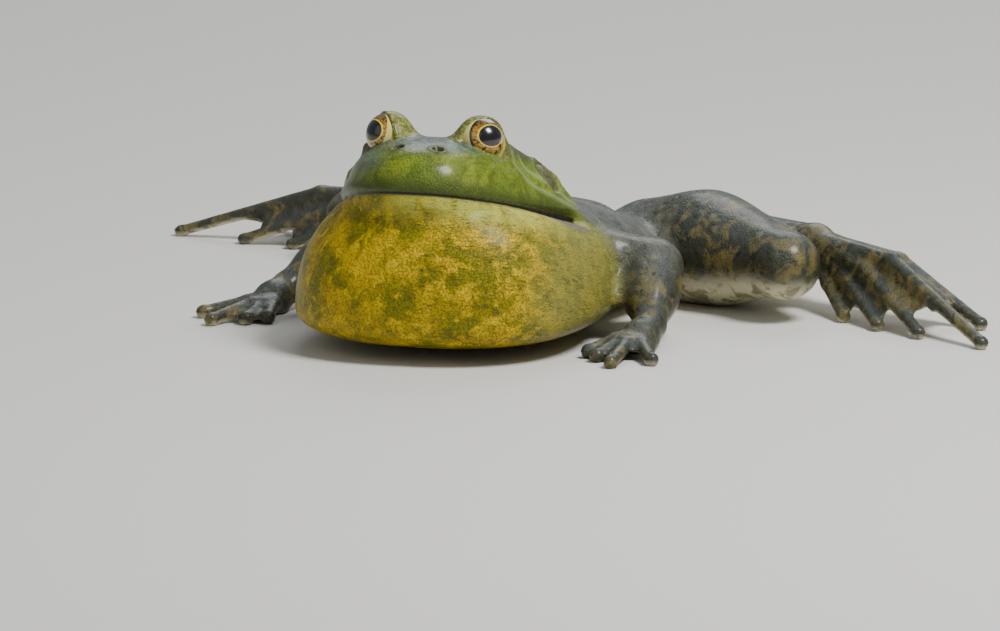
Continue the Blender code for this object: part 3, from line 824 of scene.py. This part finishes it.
def near_mouth(points):
    back, _, up = head_local(points).T
    return in_box(points, FACE_LOW, MOUTH_HIGH) & (np.abs(up + 0.8) < 2.0) & (back < 60.0)


def near_lids(points):
    close = np.zeros(len(points), bool)
    for _, side in SIDES:
        reach, outside = eye_rim(points, side)
        close |= (reach < EYE_RADIUS + 3.2) & (np.abs(outside - 0.6) < 2.8)
    return close


def needs_most_detail(points):
    """The mouth, the rims of the eyes and the nostrils."""
    nostrils = length(mirrored_head(points) - np.array(NOSTRIL)) < 3.8
    return near_mouth(points) | near_lids(points) | nostrils


def frame_shift():
    """From the working space to the frame: the left eye has its centre in both."""
    low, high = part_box("eye_left")
    return (Vector(low) + Vector(high)) / 2 - eye_place(1) * MM


def to_frame(mesh):
    points = read_places(mesh) * MM + np.array(frame_shift())
    write_places(mesh, points)


def core_form(points):
    """The head, throat and trunk without the limbs."""
    front = join(head_form(points), throat_form(points), JAW_FILLET)
    return join(front, trunk_form(points), neck_width(points))


def normals_of(mesh):
    normals = np.zeros(len(mesh.vertices) * 3)
    mesh.vertices.foreach_get("normal", normals)
    return normals.reshape(-1, 3)


def skin_marks(points, normals):
    """Where each kind of skin, painted shade and painted reflection lies: a share from 0 to 1 for every
    vertex.
    """
    mirrored = mirrored_head(points)
    back, left, up = mirrored.T
    gap = gap_half_height(back)
    nape = 78.0 - 0.55 * np.minimum(left, 34.0)
    front = 1.0 - step(back, nape, nape + 5.0)
    above = step(up, -1.6, -0.4)
    core = core_form(points)
    core_back = np.maximum(points[:, 1], 90.0 * step(core, 4.0, 10.0))
    limbs = step(core, 1.5, 7.0)
    along_jaw = 1.0 - step(back, 54.5, 57.5)
    across, drum = eardrum_place(mirrored)
    fold = np.abs(fold_form(mirrored))
    ridge = np.minimum(*(ridge_distance(back, up, places) for places in CHEEK_RIDGES))
    flat_back = back * math.cos(HEAD_PITCH) + up * math.sin(HEAD_PITCH)
    sac = step(trunk_form(points) - throat_form(points), -1.0, 2.5) * (1.0 - step(flat_back, 53.0, 64.0))
    sac = sac * (1.0 - step(throat_form(points), 1.5, 4.0))
    # Painted glare: the blue-grey of the painted sky reflection, on the frog's right side of the face above
    # the lip.
    side_glare = 0.6 * step(-head_local(points)[:, 1], 4.0, 16.0) * step(up, 4.0, 8.0) * front
    marks = {
        "face": front * above * (1.0 - limbs),
        # Painted sky reflection: blue-grey on the head's top and where the face turns up, joined by the
        # painted glare.
        "crown": np.maximum(front * step(up + 6.0 * normals[:, 2], 15.5, 22.0), side_glare),
        "throat": (1.0 - above) * sac * (1.0 - limbs),
        # Painted sky reflection: a share for skin that faces up.
        "upper": step(normals[:, 2], 0.2, 0.9),
        # Painted shade: darker green along the lower part of the upper lip, under its overhang.
        "lip": bell(np.clip(up - 0.6, 0.0, None), 3.6) * above * front,
        "strip": bell(up + 2.0 * gap + 0.8, 1.3) * step(back, 26.0, 42.0) * along_jaw * (1.0 - above),
        # Painted shade in the slit between the lips.
        "gap": bell(up + 0.9 * gap, gap * 0.9) * along_jaw,
        "belly": step(-normals[:, 2], 0.15, 0.75) * step(core_back, 62.0, 84.0),
        "limb": limbs,
        "ear": drum * (1.0 - step(across, EAR_RADIUS - 0.9, EAR_RADIUS + 0.3)),
        "fold": bell(fold, 1.0) * step(up - 0.25 * left, 5.0, 8.5),
        # Painted highlight: a pale line along each cheek ridge.
        "ridge": bell(ridge, 0.7) * step(left, 15.0, 19.0) * above * front,
        # Dark brown round each nostril, with painted shade in its pit.
        "nostril": bell(length(mirrored - np.array(NOSTRIL)), 2.9),
        "corner": bell(length(mirrored - np.array(MOUTH_CORNER)), 3.4),
        "lid": np.zeros(len(points)),
        "rim": np.zeros(len(points)),
    }
    for _, side in SIDES:
        reach, outside = eye_rim(points, side)
        mound = (1.0 - step(reach, EYE_RADIUS + 1.0, EYE_RADIUS + 4.5)) * step(outside, -0.6, 0.6)
        marks["lid"] = np.maximum(marks["lid"], mound)
        line = bell(outside - 0.15, 0.3) * (1.0 - step(reach, EYE_RADIUS + 1.0, EYE_RADIUS + 2.0))
        line = line * step(np.array(eye_place(side))[2] - points[:, 2], -4.0, 0.0)
        marks["rim"] = np.maximum(marks["rim"], line)
    return marks


def write_marks(mesh, marks):
    for name, values in marks.items():
        mark = mesh.attributes.new(name, "FLOAT", "POINT")
        mark.data.foreach_set("value", values.astype(np.float32))


def write_vectors(mesh, name, vectors):
    mark = mesh.attributes.new(name, "FLOAT_VECTOR", "POINT")
    mark.data.foreach_set("vector", vectors.astype(np.float32).ravel())


def colour(code):
    """A colour from its six-figure code, as linear light."""
    parts = [int(code[start:start + 2], 16) / 255.0 for start in (0, 2, 4)]
    linear = [part / 12.92 if part < 0.04045 else ((part + 0.055) / 1.055) ** 2.4 for part in parts]
    return (*linear, 1.0)


def node(tree, kind, *sources, **settings):
    """A node with its inputs filled in order, from sockets, from values, or left alone with None."""
    made = tree.nodes.new(kind)
    for name, value in settings.items():
        setattr(made, name, value)
    sockets = [socket for socket in made.inputs if socket.enabled]
    for socket, source in zip(sockets, sources):
        if isinstance(source, bpy.types.NodeSocket):
            tree.links.new(source, socket)
        elif source is not None:
            socket.default_value = source
    return made


def maths(tree, operation, *sources, clamp=False):
    return node(tree, "ShaderNodeMath", *sources, operation=operation, use_clamp=clamp).outputs[0]


def scaled(tree, vector, scale):
    """A vector times a number, or times three numbers."""
    factors = scale if isinstance(scale, tuple) else (scale, scale, scale)
    return node(tree, "ShaderNodeVectorMath", vector, factors, operation="MULTIPLY").outputs[0]


def mark(tree, name):
    return node(tree, "ShaderNodeAttribute", attribute_name=name).outputs["Fac"]


def noise(tree, vector, size, detail=2.0, distortion=0.0):
    """A cloudy value from 0 to 1, its clouds about the size in millimetres."""
    made = node(tree, "ShaderNodeTexNoise", vector)
    made.inputs["Scale"].default_value = 1.0 / size
    made.inputs["Detail"].default_value = detail
    made.inputs["Distortion"].default_value = distortion
    return made.outputs[0]


def noise_vector(tree, vector, size, reach):
    """A cloudy vector, to stir another one with."""
    made = node(tree, "ShaderNodeTexNoise", vector)
    made.inputs["Scale"].default_value = 1.0 / size
    return scaled(tree, made.outputs["Color"], reach)


def grains(tree, vector, size):
    """The distance from a scatter of spots."""
    made = node(tree, "ShaderNodeTexVoronoi", vector)
    made.inputs["Scale"].default_value = 1.0 / size
    return made.outputs["Distance"]


def ramp(tree, value, start, end, low=0.0, high=1.0):
    """The value taken smoothly from one span to another."""
    span = (start, end, low, high)
    return node(tree, "ShaderNodeMapRange", value, *span, interpolation_type="SMOOTHSTEP").outputs[0]


def blend(tree, share, first, second):
    made = node(tree, "ShaderNodeMix", data_type="RGBA")
    for socket, source in ((made.inputs[0], share), (made.inputs[6], first), (made.inputs[7], second)):
        if isinstance(source, bpy.types.NodeSocket):
            tree.links.new(source, socket)
        else:
            socket.default_value = source
    return made.outputs[2]


def new_group(name, inputs, output, kind):
    """An empty node group with its sockets; the group, its input sockets and its output socket."""
    group = bpy.data.node_groups.new(name, "ShaderNodeTree")
    for label, socket_kind in inputs:
        group.interface.new_socket(label, in_out="INPUT", socket_type=socket_kind)
    group.interface.new_socket(output, in_out="OUTPUT", socket_type=kind)
    sources = group.nodes.new("NodeGroupInput").outputs
    result = group.nodes.new("NodeGroupOutput").inputs[0]
    return group, sources, result


def mottle_group():
    """Two colours mixed in soft clouds."""
    number, vector, tint = "NodeSocketFloat", "NodeSocketVector", "NodeSocketColor"
    inputs = (
        ("Place", vector), ("Scale", number), ("Detail", number), ("Distortion", number),
        ("From", number), ("To", number), ("Share", number), ("First", tint), ("Second", tint),
    )
    group, sources, result = new_group("mottle", inputs, "Colour", tint)
    place, scale, detail, distortion, start, end, share, first, second = list(sources)[:9]
    clouds = node(group, "ShaderNodeTexNoise", place)
    for label, source in (("Scale", scale), ("Detail", detail), ("Distortion", distortion)):
        group.links.new(source, clouds.inputs[label])
    mask = maths(group, "MULTIPLY", ramp(group, clouds.outputs[0], start, end), share)
    group.links.new(blend(group, mask, first, second), result)
    return group


def pebble_group():
    """Fine round pebbles: 1 between them, 0 on their tops."""
    inputs = (("Place", "NodeSocketVector"), ("Scale", "NodeSocketFloat"))
    group, sources, result = new_group("pebbles", inputs, "Between", "NodeSocketFloat")
    spots = node(group, "ShaderNodeTexVoronoi", sources[0])
    group.links.new(sources[1], spots.inputs["Scale"])
    group.links.new(ramp(group, spots.outputs["Distance"], 0.3, 0.8), result)
    return group


def grouped(tree, group, *sources):
    """A group's output, with its inputs filled in order."""
    made = tree.nodes.new("ShaderNodeGroup")
    made.node_tree = group
    for socket, source in zip(made.inputs, sources):
        if isinstance(source, bpy.types.NodeSocket):
            tree.links.new(source, socket)
        else:
            socket.default_value = source
    return made.outputs[0]


def new_material(name, roughness, coat, coat_roughness):
    material = bpy.data.materials.new(name)
    material.use_nodes = True
    shader = material.node_tree.nodes["Principled BSDF"]
    shader.inputs["Roughness"].default_value = roughness
    shader.inputs["Coat Weight"].default_value = coat
    shader.inputs["Coat Roughness"].default_value = coat_roughness
    return material, material.node_tree, shader


class SkinPainter:
    """The skin's node tree, with the places and patterns that its colours share."""

    def __init__(self, tree):
        self.tree = tree
        self.mottle = mottle_group()
        self.place = scaled(tree, node(tree, "ShaderNodeTexCoord").outputs["Object"], 1000.0)
        self.head = node(tree, "ShaderNodeAttribute", attribute_name="head_place").outputs["Vector"]
        self.left, self.up = node(tree, "ShaderNodeSeparateXYZ", self.head).outputs[1:3]
        self.between = grouped(tree, pebble_group(), self.place, 1.0 / 0.62)

    def clouds(self, size, span, first, second, share=1.0, detail=3.0, distortion=0.6):
        """Two colours in clouds about the size across, the second where the noise is over the span."""
        settings = (1.0 / size, detail, distortion, *span, share)
        return grouped(self.tree, self.mottle, self.place, *settings, first, second)

    def tinted(self, share, first, code):
        return blend(self.tree, share, first, colour(code))

    def marked(self, name, share, first, second):
        """The second colour laid over the first one where the skin has a mark."""
        return blend(self.tree, maths(self.tree, "MULTIPLY", mark(self.tree, name), share), first, second)

    def body(self):
        """Brown-grey back with dark blotches and a painted sky reflection on top; mottled limbs; pale belly.
        """
        back = self.clouds(4.5, (0.4, 0.62), colour("41423a"), colour("5f5d4b"))
        back = self.clouds(13.0, (0.5, 0.68), back, colour("32342f"), distortion=0.8)
        back = self.clouds(0.55, (0.52, 0.68), back, colour("807a64"), share=0.45, detail=1.0)
        limbs = self.clouds(8.0, (0.46, 0.62), colour("3a3a2c"), colour("6d6136"), distortion=1.2)
        limbs = self.clouds(3.0, (0.58, 0.7), limbs, colour("26261e"))
        # Painted shade between the limbs' grains.
        limbs = self.tinted(maths(self.tree, "MULTIPLY", self.between, 0.3), limbs, "2b2a20")
        belly = self.clouds(5.0, (0.46, 0.62), colour("cfc9a6"), colour("8c8668"), distortion=0.8)
        back = self.marked("limb", 1.0, back, limbs)
        # Painted blue-grey sky reflection on the skin that faces up.
        back = self.marked("upper", 0.3, back, colour("4c585a"))
        return self.marked("belly", 1.0, back, belly)

    def face(self):
        """Olive green; painted shade at the lip and in the grain; painted sky reflection on the crown."""
        tree = self.tree
        face = self.clouds(4.5, (0.35, 0.65), colour("56660a"), colour("7e8c1c"))
        face = self.clouds(13.0, (0.45, 0.62), face, colour("62781e"), share=0.6, distortion=0.8)
        # Painted shade between the face's grains.
        face = self.tinted(maths(tree, "MULTIPLY", self.between, 0.42), face, "36440a")
        # Painted shade along the upper lip, under its overhang.
        face = self.marked("lip", 0.85, face, colour("38440a"))
        # Painted blue-grey sky reflection for the crown and for the painted glare on the snout's side.
        crown = self.clouds(1.6, (0.4, 0.65), colour("44524a"), colour("66766f"))
        return self.marked("crown", 1.0, face, crown)

    def creases(self):
        """Thin wavy lines across the left of the throat: 1 on a line."""
        tree = self.tree
        stir = noise_vector(tree, self.place, 5.0, 1.0)
        flattened = scaled(tree, self.head, (0.1, 0.07, 0.62))
        wavy = node(tree, "ShaderNodeVectorMath", flattened, stir).outputs[0]
        height = maths(tree, "ABSOLUTE", maths(tree, "SUBTRACT", noise(tree, wavy, 0.8, 2.0), 0.5))
        lines = ramp(tree, height, 0.03, 0.0)
        lines = maths(tree, "MULTIPLY", lines, ramp(tree, self.left, -8.0, 8.0, 0.1, 0.6))
        return maths(tree, "MULTIPLY", lines, ramp(tree, noise(tree, self.place, 3.0), 0.4, 0.6, 0.2, 1.0))

    def throat(self, creases):
        """Yellow over olive; painted sunlight under the lip; duller sides; painted shade in creases and
        grain.
        """
        tree = self.tree
        throat = self.clouds(9.0, (0.38, 0.62), colour("7c7600"), colour("c0a000"), distortion=0.3)
        throat = self.clouds(3.4, (0.5, 0.64), throat, colour("dcb800"), share=0.75, distortion=0.2)
        throat = self.clouds(5.0, (0.54, 0.66), throat, colour("5c5800"), share=0.55, distortion=0.3)
        # Painted shade between the throat's grains.
        throat = self.tinted(maths(tree, "MULTIPLY", self.between, 0.55), throat, "443e00")
        # Painted sunlight: paler yellow-green under the lip, on the frog's left side of the throat, broken
        # into clouds.
        pale = maths(tree, "MULTIPLY", ramp(tree, self.up, -11.0, -3.0), ramp(tree, self.left, -14.0, 4.0))
        cloudy = ramp(tree, noise(tree, self.place, 4.5, 3.0), 0.3, 0.6, 0.3, 0.9)
        pale = maths(tree, "MULTIPLY", pale, cloudy)
        throat = self.tinted(pale, throat, "aeb04a")
        sides = ramp(tree, maths(tree, "ABSOLUTE", self.left), 30.0, 42.0, 0.0, 0.7)
        throat = self.tinted(sides, throat, "77793f")
        # Painted shade in the throat's creases.
        return self.tinted(creases, throat, "38340a")

    def details(self, skin):
        """Lids, folds, eardrums, nostrils and mouth edges on the skin, with painted highlights and shade."""
        tree = self.tree
        lid = self.clouds(1.6, (0.4, 0.6), colour("5f6b12"), colour("9c9a2c"))
        lid = self.clouds(0.9, (0.6, 0.68), lid, colour("6e431a"), detail=1.0)
        # Painted shade between the lids' grains.
        lid = self.tinted(maths(tree, "MULTIPLY", self.between, 0.5), lid, "2f3610")
        ear = self.clouds(1.6, (0.4, 0.62), colour("3f3a24"), colour("5f5a3c"))
        skin = self.marked("lid", 0.85, skin, lid)
        # Pale painted highlight along the cheek ridges.
        skin = self.marked("ridge", 0.55, skin, colour("93a474"))
        skin = self.marked("fold", 0.6, skin, colour("43391f"))
        skin = self.marked("ear", 0.85, skin, ear)
        # Dark brown round each nostril, with painted shade in its pit.
        skin = self.marked("nostril", 1.0, skin, colour("2a160a"))
        skin = self.marked("corner", 0.6, skin, colour("7f8a34"))
        skin = self.marked("strip", 1.0, skin, colour("6e5c62"))
        skin = self.tinted(ramp(tree, mark(tree, "rim"), 0.45, 0.9, 0.0, 0.8), skin, "b8ac3c")
        # Near-black painted shade in the slit between the lips.
        return self.tinted(ramp(tree, mark(tree, "gap"), 0.3, 0.75), skin, "120d09")

    def relief(self, creases):
        """The grain's height in millimetres: warts on the back and limbs, pebbles, soft creases."""
        tree = self.tree
        bare = maths(tree, "ADD", mark(tree, "face"), mark(tree, "throat"), clamp=True)
        warty = maths(tree, "SUBTRACT", 1.0, maths(tree, "ADD", bare, mark(tree, "belly"), clamp=True))
        warts = ramp(tree, grains(tree, self.place, 4.2), 0.55, 0.05)
        height = maths(tree, "MULTIPLY", maths(tree, "MULTIPLY", warts, warty), 0.55)
        height = maths(tree, "SUBTRACT", height, maths(tree, "MULTIPLY", self.between, 0.12))
        height = maths(tree, "ADD", height, maths(tree, "MULTIPLY", noise(tree, self.place, 1.6, 3.0), 0.25))
        lines = maths(tree, "MULTIPLY", creases, mark(tree, "throat"))
        return maths(tree, "SUBTRACT", height, maths(tree, "MULTIPLY", lines, 0.35))


def skin_material(settings):
    """Wet frog skin: dull on the throat, glossy elsewhere."""
    material, tree, shader = new_material("frog skin", 0.45, 0.0, 0.2)
    shader.inputs["Specular IOR Level"].default_value = 0.2
    painter = SkinPainter(tree)
    creases = painter.creases()
    skin = painter.marked("face", 1.0, painter.body(), painter.face())
    skin = painter.marked("throat", 1.0, skin, painter.throat(creases))
    tree.links.new(painter.details(skin), shader.inputs["Base Color"])
    dry = maths(tree, "SUBTRACT", 1.0, maths(tree, "MULTIPLY", mark(tree, "throat"), 0.75))
    tree.links.new(maths(tree, "MULTIPLY", dry, settings.wetness), shader.inputs["Coat Weight"])
    bump = node(tree, "ShaderNodeBump")
    bump.inputs["Distance"].default_value = settings.grain_height
    bump.inputs["Strength"].default_value = 0.8
    tree.links.new(painter.relief(creases), bump.inputs["Height"])
    tree.links.new(bump.outputs[0], shader.inputs["Normal"])
    return material


def iris_colour(tree, gaze, reach, across, up, settings):
    """Gold with dark blotches in spokes, darker above and at the edge."""
    angle = maths(tree, "MULTIPLY", maths(tree, "ARCTAN2", up, across), 2.0)
    along = maths(tree, "MULTIPLY", reach, 2.5)
    spokes = node(tree, "ShaderNodeCombineXYZ", angle, along, 0.0).outputs[0]
    grain = ramp(tree, noise(tree, gaze, 0.05, 2.0), 0.35, 0.65)
    iris = blend(tree, grain, colour("7c540a"), (*settings.iris, 1.0))
    iris = blend(tree, ramp(tree, noise(tree, spokes, 0.45, 4.0, 0.5), 0.52, 0.6), iris, colour("1c1006"))
    iris = blend(tree, ramp(tree, up, 0.25, 0.7, 0.0, 0.75), iris, colour("241a10"))
    return blend(tree, ramp(tree, reach, 0.74, 0.82), iris, colour("1a0f06"))


def eye_material(settings):
    """A wet eye: black pupil in a thin bright ring, gold iris, and a pale crescent by the snout."""
    material, tree, shader = new_material("frog eye", 0.25, 1.0, 0.02)
    gaze = node(tree, "ShaderNodeAttribute", attribute_name="gaze").outputs["Vector"]
    across, up = node(tree, "ShaderNodeSeparateXYZ", gaze).outputs[:2]
    flat = scaled(tree, gaze, (1.0, 1.0, 0.0))
    reach = node(tree, "ShaderNodeVectorMath", flat, operation="LENGTH").outputs["Value"]
    oval = scaled(tree, gaze, (1.0 / PUPIL_HALF_WIDTH, 1.0 / PUPIL_HALF_HEIGHT, 0.0))
    pupil = node(tree, "ShaderNodeVectorMath", oval, operation="LENGTH").outputs["Value"]
    iris = iris_colour(tree, gaze, reach, across, up, settings)
    eye = blend(tree, ramp(tree, reach, 0.84, 0.87), iris, colour("1a120a"))
    eye = blend(tree, ramp(tree, mark(tree, "crescent"), -0.012, 0.012), eye, colour("dcd27a"))
    eye = blend(tree, ramp(tree, pupil, 1.11, 1.07), eye, colour("f0d030"))
    eye = blend(tree, ramp(tree, pupil, 1.02, 0.98), eye, colour("040404"))
    tree.links.new(eye, shader.inputs["Base Color"])
    return material


class BullfrogSkinSettings(bpy.types.PropertyGroup):
    """How finely the skin is meshed, and how it shines"""

    blank_voxel: bpy.props.FloatProperty(
        name="Blank voxel", description="Grid size that fuses the primitives",
        default=2.2 * MM, min=1.0 * MM, unit="LENGTH", precision=5,
    )
    skin_voxel: bpy.props.FloatProperty(
        name="Skin voxel", description="Grid size of the skin before the head is refined",
        default=1.3 * MM, min=0.8 * MM, unit="LENGTH", precision=5,
    )
    grain_height: bpy.props.FloatProperty(
        name="Grain height", description="Height of one unit of the skin's grain",
        default=1.0 * MM, min=0.0, unit="LENGTH", precision=5,
    )
    wetness: bpy.props.FloatProperty(
        name="Wetness", description="Weight of the wet film on the skin",
        default=0.3, min=0.0, max=1.0, subtype="FACTOR",
    )


class BullfrogEyeSettings(bpy.types.PropertyGroup):
    """The eyes' colour and smoothness"""

    iris: bpy.props.FloatVectorProperty(
        name="Iris", description="The iris's bright colour",
        default=(0.66, 0.33, 0.006), size=3, min=0.0, max=1.0, subtype="COLOR",
    )
    segments: bpy.props.IntProperty(
        name="Segments", description="Faces round each eyeball", default=96, min=24, max=192,
    )


class BullfrogStageSettings(bpy.types.PropertyGroup):
    """The camera's place and the lamps' strengths"""

    view_turn: bpy.props.FloatProperty(
        name="View turn", description="How far the camera stands to the frog's left",
        default=math.radians(30.0), subtype="ANGLE",
    )
    view_lift: bpy.props.FloatProperty(
        name="View lift", description="How far the camera looks down",
        default=math.radians(10.5), subtype="ANGLE",
    )
    view_distance: bpy.props.FloatProperty(
        name="View distance", description="From the camera to the frog",
        default=4.0, min=0.5, unit="LENGTH",
    )
    view_width: bpy.props.FloatProperty(
        name="View width", description="Width of the view at the frog",
        default=0.2857, min=0.05, unit="LENGTH",
    )
    key_power: bpy.props.FloatProperty(
        name="Key lamp", description="Strength of the main lamp", default=15.0, min=0.0, unit="POWER",
    )
    fill_power: bpy.props.FloatProperty(
        name="Fill lamp", description="Strength of the soft lamp in front",
        default=2.2, min=0.0, unit="POWER",
    )
    back_power: bpy.props.FloatProperty(
        name="Back lamp", description="Strength of the lamp behind", default=6.0, min=0.0, unit="POWER",
    )


class BullfrogSettings(bpy.types.PropertyGroup):
    """The settings of the skin, the eyes and the stage"""

    skin: bpy.props.PointerProperty(
        type=BullfrogSkinSettings, name="Skin", description="The skin's settings",
    )
    eyes: bpy.props.PointerProperty(
        type=BullfrogEyeSettings, name="Eyes", description="The eyes' settings",
    )
    stage: bpy.props.PointerProperty(
        type=BullfrogStageSettings, name="Stage", description="The stage's settings",
    )


def check_skin(mesh):
    """Stop with an error unless the skin is closed and within its triangles."""
    edges = np.zeros(len(mesh.loops), dtype=np.int32)
    mesh.loops.foreach_get("edge_index", edges)
    if np.any(np.bincount(edges, minlength=len(mesh.edges)) != 2):
        raise RuntimeError("the skin isn't closed")
    if len(mesh.loops) - 2 * len(mesh.polygons) > MOST_TRIANGLES:
        raise RuntimeError("the skin has too many triangles")


def hand_over(piece, nodes):
    """Tell the frame which body a finished piece rides on, and which solids it stands for."""
    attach(piece, "root")
    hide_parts(*nodes)


class BULLFROG_OT_skin(bpy.types.Operator):
    """Make the skin that covers the head, throat, trunk and limbs in one piece"""

    bl_idname = "bullfrog.skin"
    bl_label = "Skin"

    def execute(self, context):
        settings = context.scene.bullfrog.skin
        skin = make_blank()
        remesh(skin, settings.blank_voxel / MM)
        settle(skin, lambda points: body_form(points) - BLANK_SWELL, BLANK_ROUNDS)
        remesh(skin, settings.skin_voxel / MM)
        settle(skin, body_form, SKIN_ROUNDS)
        settle(skin, skin_form, FINE_ROUNDS, refine(skin, needs_detail))
        settle(skin, skin_form, FINE_ROUNDS, refine(skin, needs_most_detail))
        soften(skin, near_mouth, MOUTH_ROUNDS)
        soften(skin, near_lids, LID_ROUNDS)
        mesh = skin.data
        check_skin(mesh)
        write_marks(mesh, skin_marks(read_places(mesh), normals_of(mesh)))
        write_vectors(mesh, "head_place", head_local(read_places(mesh)))
        to_frame(mesh)
        mesh.shade_smooth()
        mesh.materials.clear()
        mesh.materials.append(skin_material(settings))
        hand_over(skin, (name for name in NODES if not name.startswith("eye_")))
        return {"FINISHED"}


def gaze_axes(name, side):
    """The eyeball's own axes: towards the snout, up, and the way it looks."""
    heading = math.pi * 1.5 + HEAD_TURN + side * GAZE_TURN[name]
    flat = Vector((math.cos(heading), math.sin(heading), 0)) * math.cos(GAZE_LIFT)
    ahead = flat + Vector((0, 0, math.sin(GAZE_LIFT)))
    snout = -HEAD_AXES[0]
    snout = (snout - ahead * snout.dot(ahead)).normalized()
    up = ahead.cross(snout)
    return snout, up if up.z > 0 else -up, ahead


class BULLFROG_OT_eyes(bpy.types.Operator):
    """Make the two eyeballs, each with a bulging cornea over its iris"""

    bl_idname = "bullfrog.eyes"
    bl_label = "Eyes"

    def execute(self, context):
        settings = context.scene.bullfrog.eyes
        finish = eye_material(settings)
        for name, side in SIDES:
            rings = settings.segments * 2 // 3
            bpy.ops.mesh.primitive_uv_sphere_add(segments=settings.segments, ring_count=rings, radius=1.0)
            eye = bpy.context.active_object
            eye.name = "eyeball_" + name
            points = read_places(eye.data)
            share = np.hypot(points[:, 0], points[:, 1]) / CORNEA_RADIUS
            cornea = np.clip(1.0 - share ** 2, 0.0, 1.0) ** 1.5 * (points[:, 2] > 0)
            write_vectors(eye.data, "gaze", points)
            ring = np.hypot(points[:, 0] + CRESCENT_SHIFT[name], points[:, 1]) - CRESCENT_RADIUS
            write_marks(eye.data, {"crescent": np.minimum(ring, points[:, 0] - CRESCENT_EDGE)})
            points = (points + cornea[:, None] * (0, 0, CORNEA_HEIGHT)) * EYE_RADIUS
            write_places(eye.data, points @ np.array(gaze_axes(name, side)) + np.array(eye_place(side)))
            to_frame(eye.data)
            eye.data.shade_smooth()
            eye.data.materials.append(finish)
            hand_over(eye, ("eye_" + name,))
        return {"FINISHED"}


def add_area_light(name, aim, toward, distance, size, power):
    """A square lamp at a distance from what it lights."""
    light = bpy.data.lights.new(name, "AREA")
    light.energy = power
    light.size = size
    lamp = bpy.data.objects.new(name, light)
    lamp.location = aim + toward * distance
    lamp.rotation_euler = toward.to_track_quat("Z", "Y").to_euler()
    bpy.context.scene.collection.objects.link(lamp)


def direction(turn, lift):
    """Towards a place beside the frog: turned to its left from straight ahead, and lifted."""
    return Vector((math.sin(turn) * math.cos(lift), -math.cos(turn) * math.cos(lift), math.sin(lift)))


def add_floor():
    bpy.ops.mesh.primitive_plane_add(size=FLOOR_SIZE, location=(0, 0, 0))
    floor = bpy.context.active_object
    floor.name = "floor"
    paper, _, shader = new_material("floor", 0.9, 0.0, 0.1)
    shader.inputs["Base Color"].default_value = colour("d6d4ce")
    floor.data.materials.append(paper)


def add_camera(context, aim, settings):
    view = bpy.data.cameras.new("view")
    view.sensor_width = 36.0
    view.lens = view.sensor_width * settings.view_distance / settings.view_width
    camera = bpy.data.objects.new("view", view)
    toward = direction(settings.view_turn, settings.view_lift)
    camera.location = aim + toward * settings.view_distance
    camera.rotation_euler = toward.to_track_quat("Z", "Y").to_euler()
    context.scene.collection.objects.link(camera)
    context.scene.camera = camera


class BULLFROG_OT_stage(bpy.types.Operator):
    """Set the floor, the lights and the camera"""

    bl_idname = "bullfrog.stage"
    bl_label = "Stage"

    def execute(self, context):
        settings = context.scene.bullfrog.stage
        aim = Vector(VIEW_AIM) * MM + frame_shift()
        add_floor()
        for name, (turn, lift, distance, size) in LAMPS.items():
            toward = direction(math.radians(turn), math.radians(lift))
            add_area_light(name, aim, toward, distance, size, getattr(settings, name + "_power"))
        world = bpy.data.worlds.new("studio")
        context.scene.world = world
        world.use_nodes = True
        sky = world.node_tree.nodes["Background"]
        sky.inputs["Color"].default_value = SKY_COLOUR
        sky.inputs["Strength"].default_value = SKY_STRENGTH
        add_camera(context, aim, settings)
        return {"FINISHED"}


class BULLFROG_PT_steps(bpy.types.Panel):
    """The frog's settings and the steps that make it"""

    bl_idname = "BULLFROG_PT_steps"
    bl_label = "Still bullfrog"
    bl_space_type = "VIEW_3D"
    bl_region_type = "UI"
    bl_category = "Bullfrog"

    def draw(self, context):
        for step_name in STEPS:
            box = self.layout.box()
            settings = getattr(context.scene.bullfrog, step_name)
            for setting in type(settings).__annotations__:
                box.prop(settings, setting)
            box.operator("bullfrog." + step_name)


STEPS = ("skin", "eyes", "stage")
CLASSES = (
    BullfrogSkinSettings,
    BullfrogEyeSettings,
    BullfrogStageSettings,
    BullfrogSettings,
    BULLFROG_OT_skin,
    BULLFROG_OT_eyes,
    BULLFROG_OT_stage,
    BULLFROG_PT_steps,
)


def register():
    for entry in CLASSES:
        bpy.utils.register_class(entry)
    bpy.types.Scene.bullfrog = bpy.props.PointerProperty(type=BullfrogSettings)


def unregister():
    del bpy.types.Scene.bullfrog
    for entry in reversed(CLASSES):
        bpy.utils.unregister_class(entry)


def main():
    """Register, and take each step."""
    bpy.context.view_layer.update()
    register()
    for step_name in STEPS:
        getattr(bpy.ops.bullfrog, step_name)()


if __name__ == "__main__":
    main()
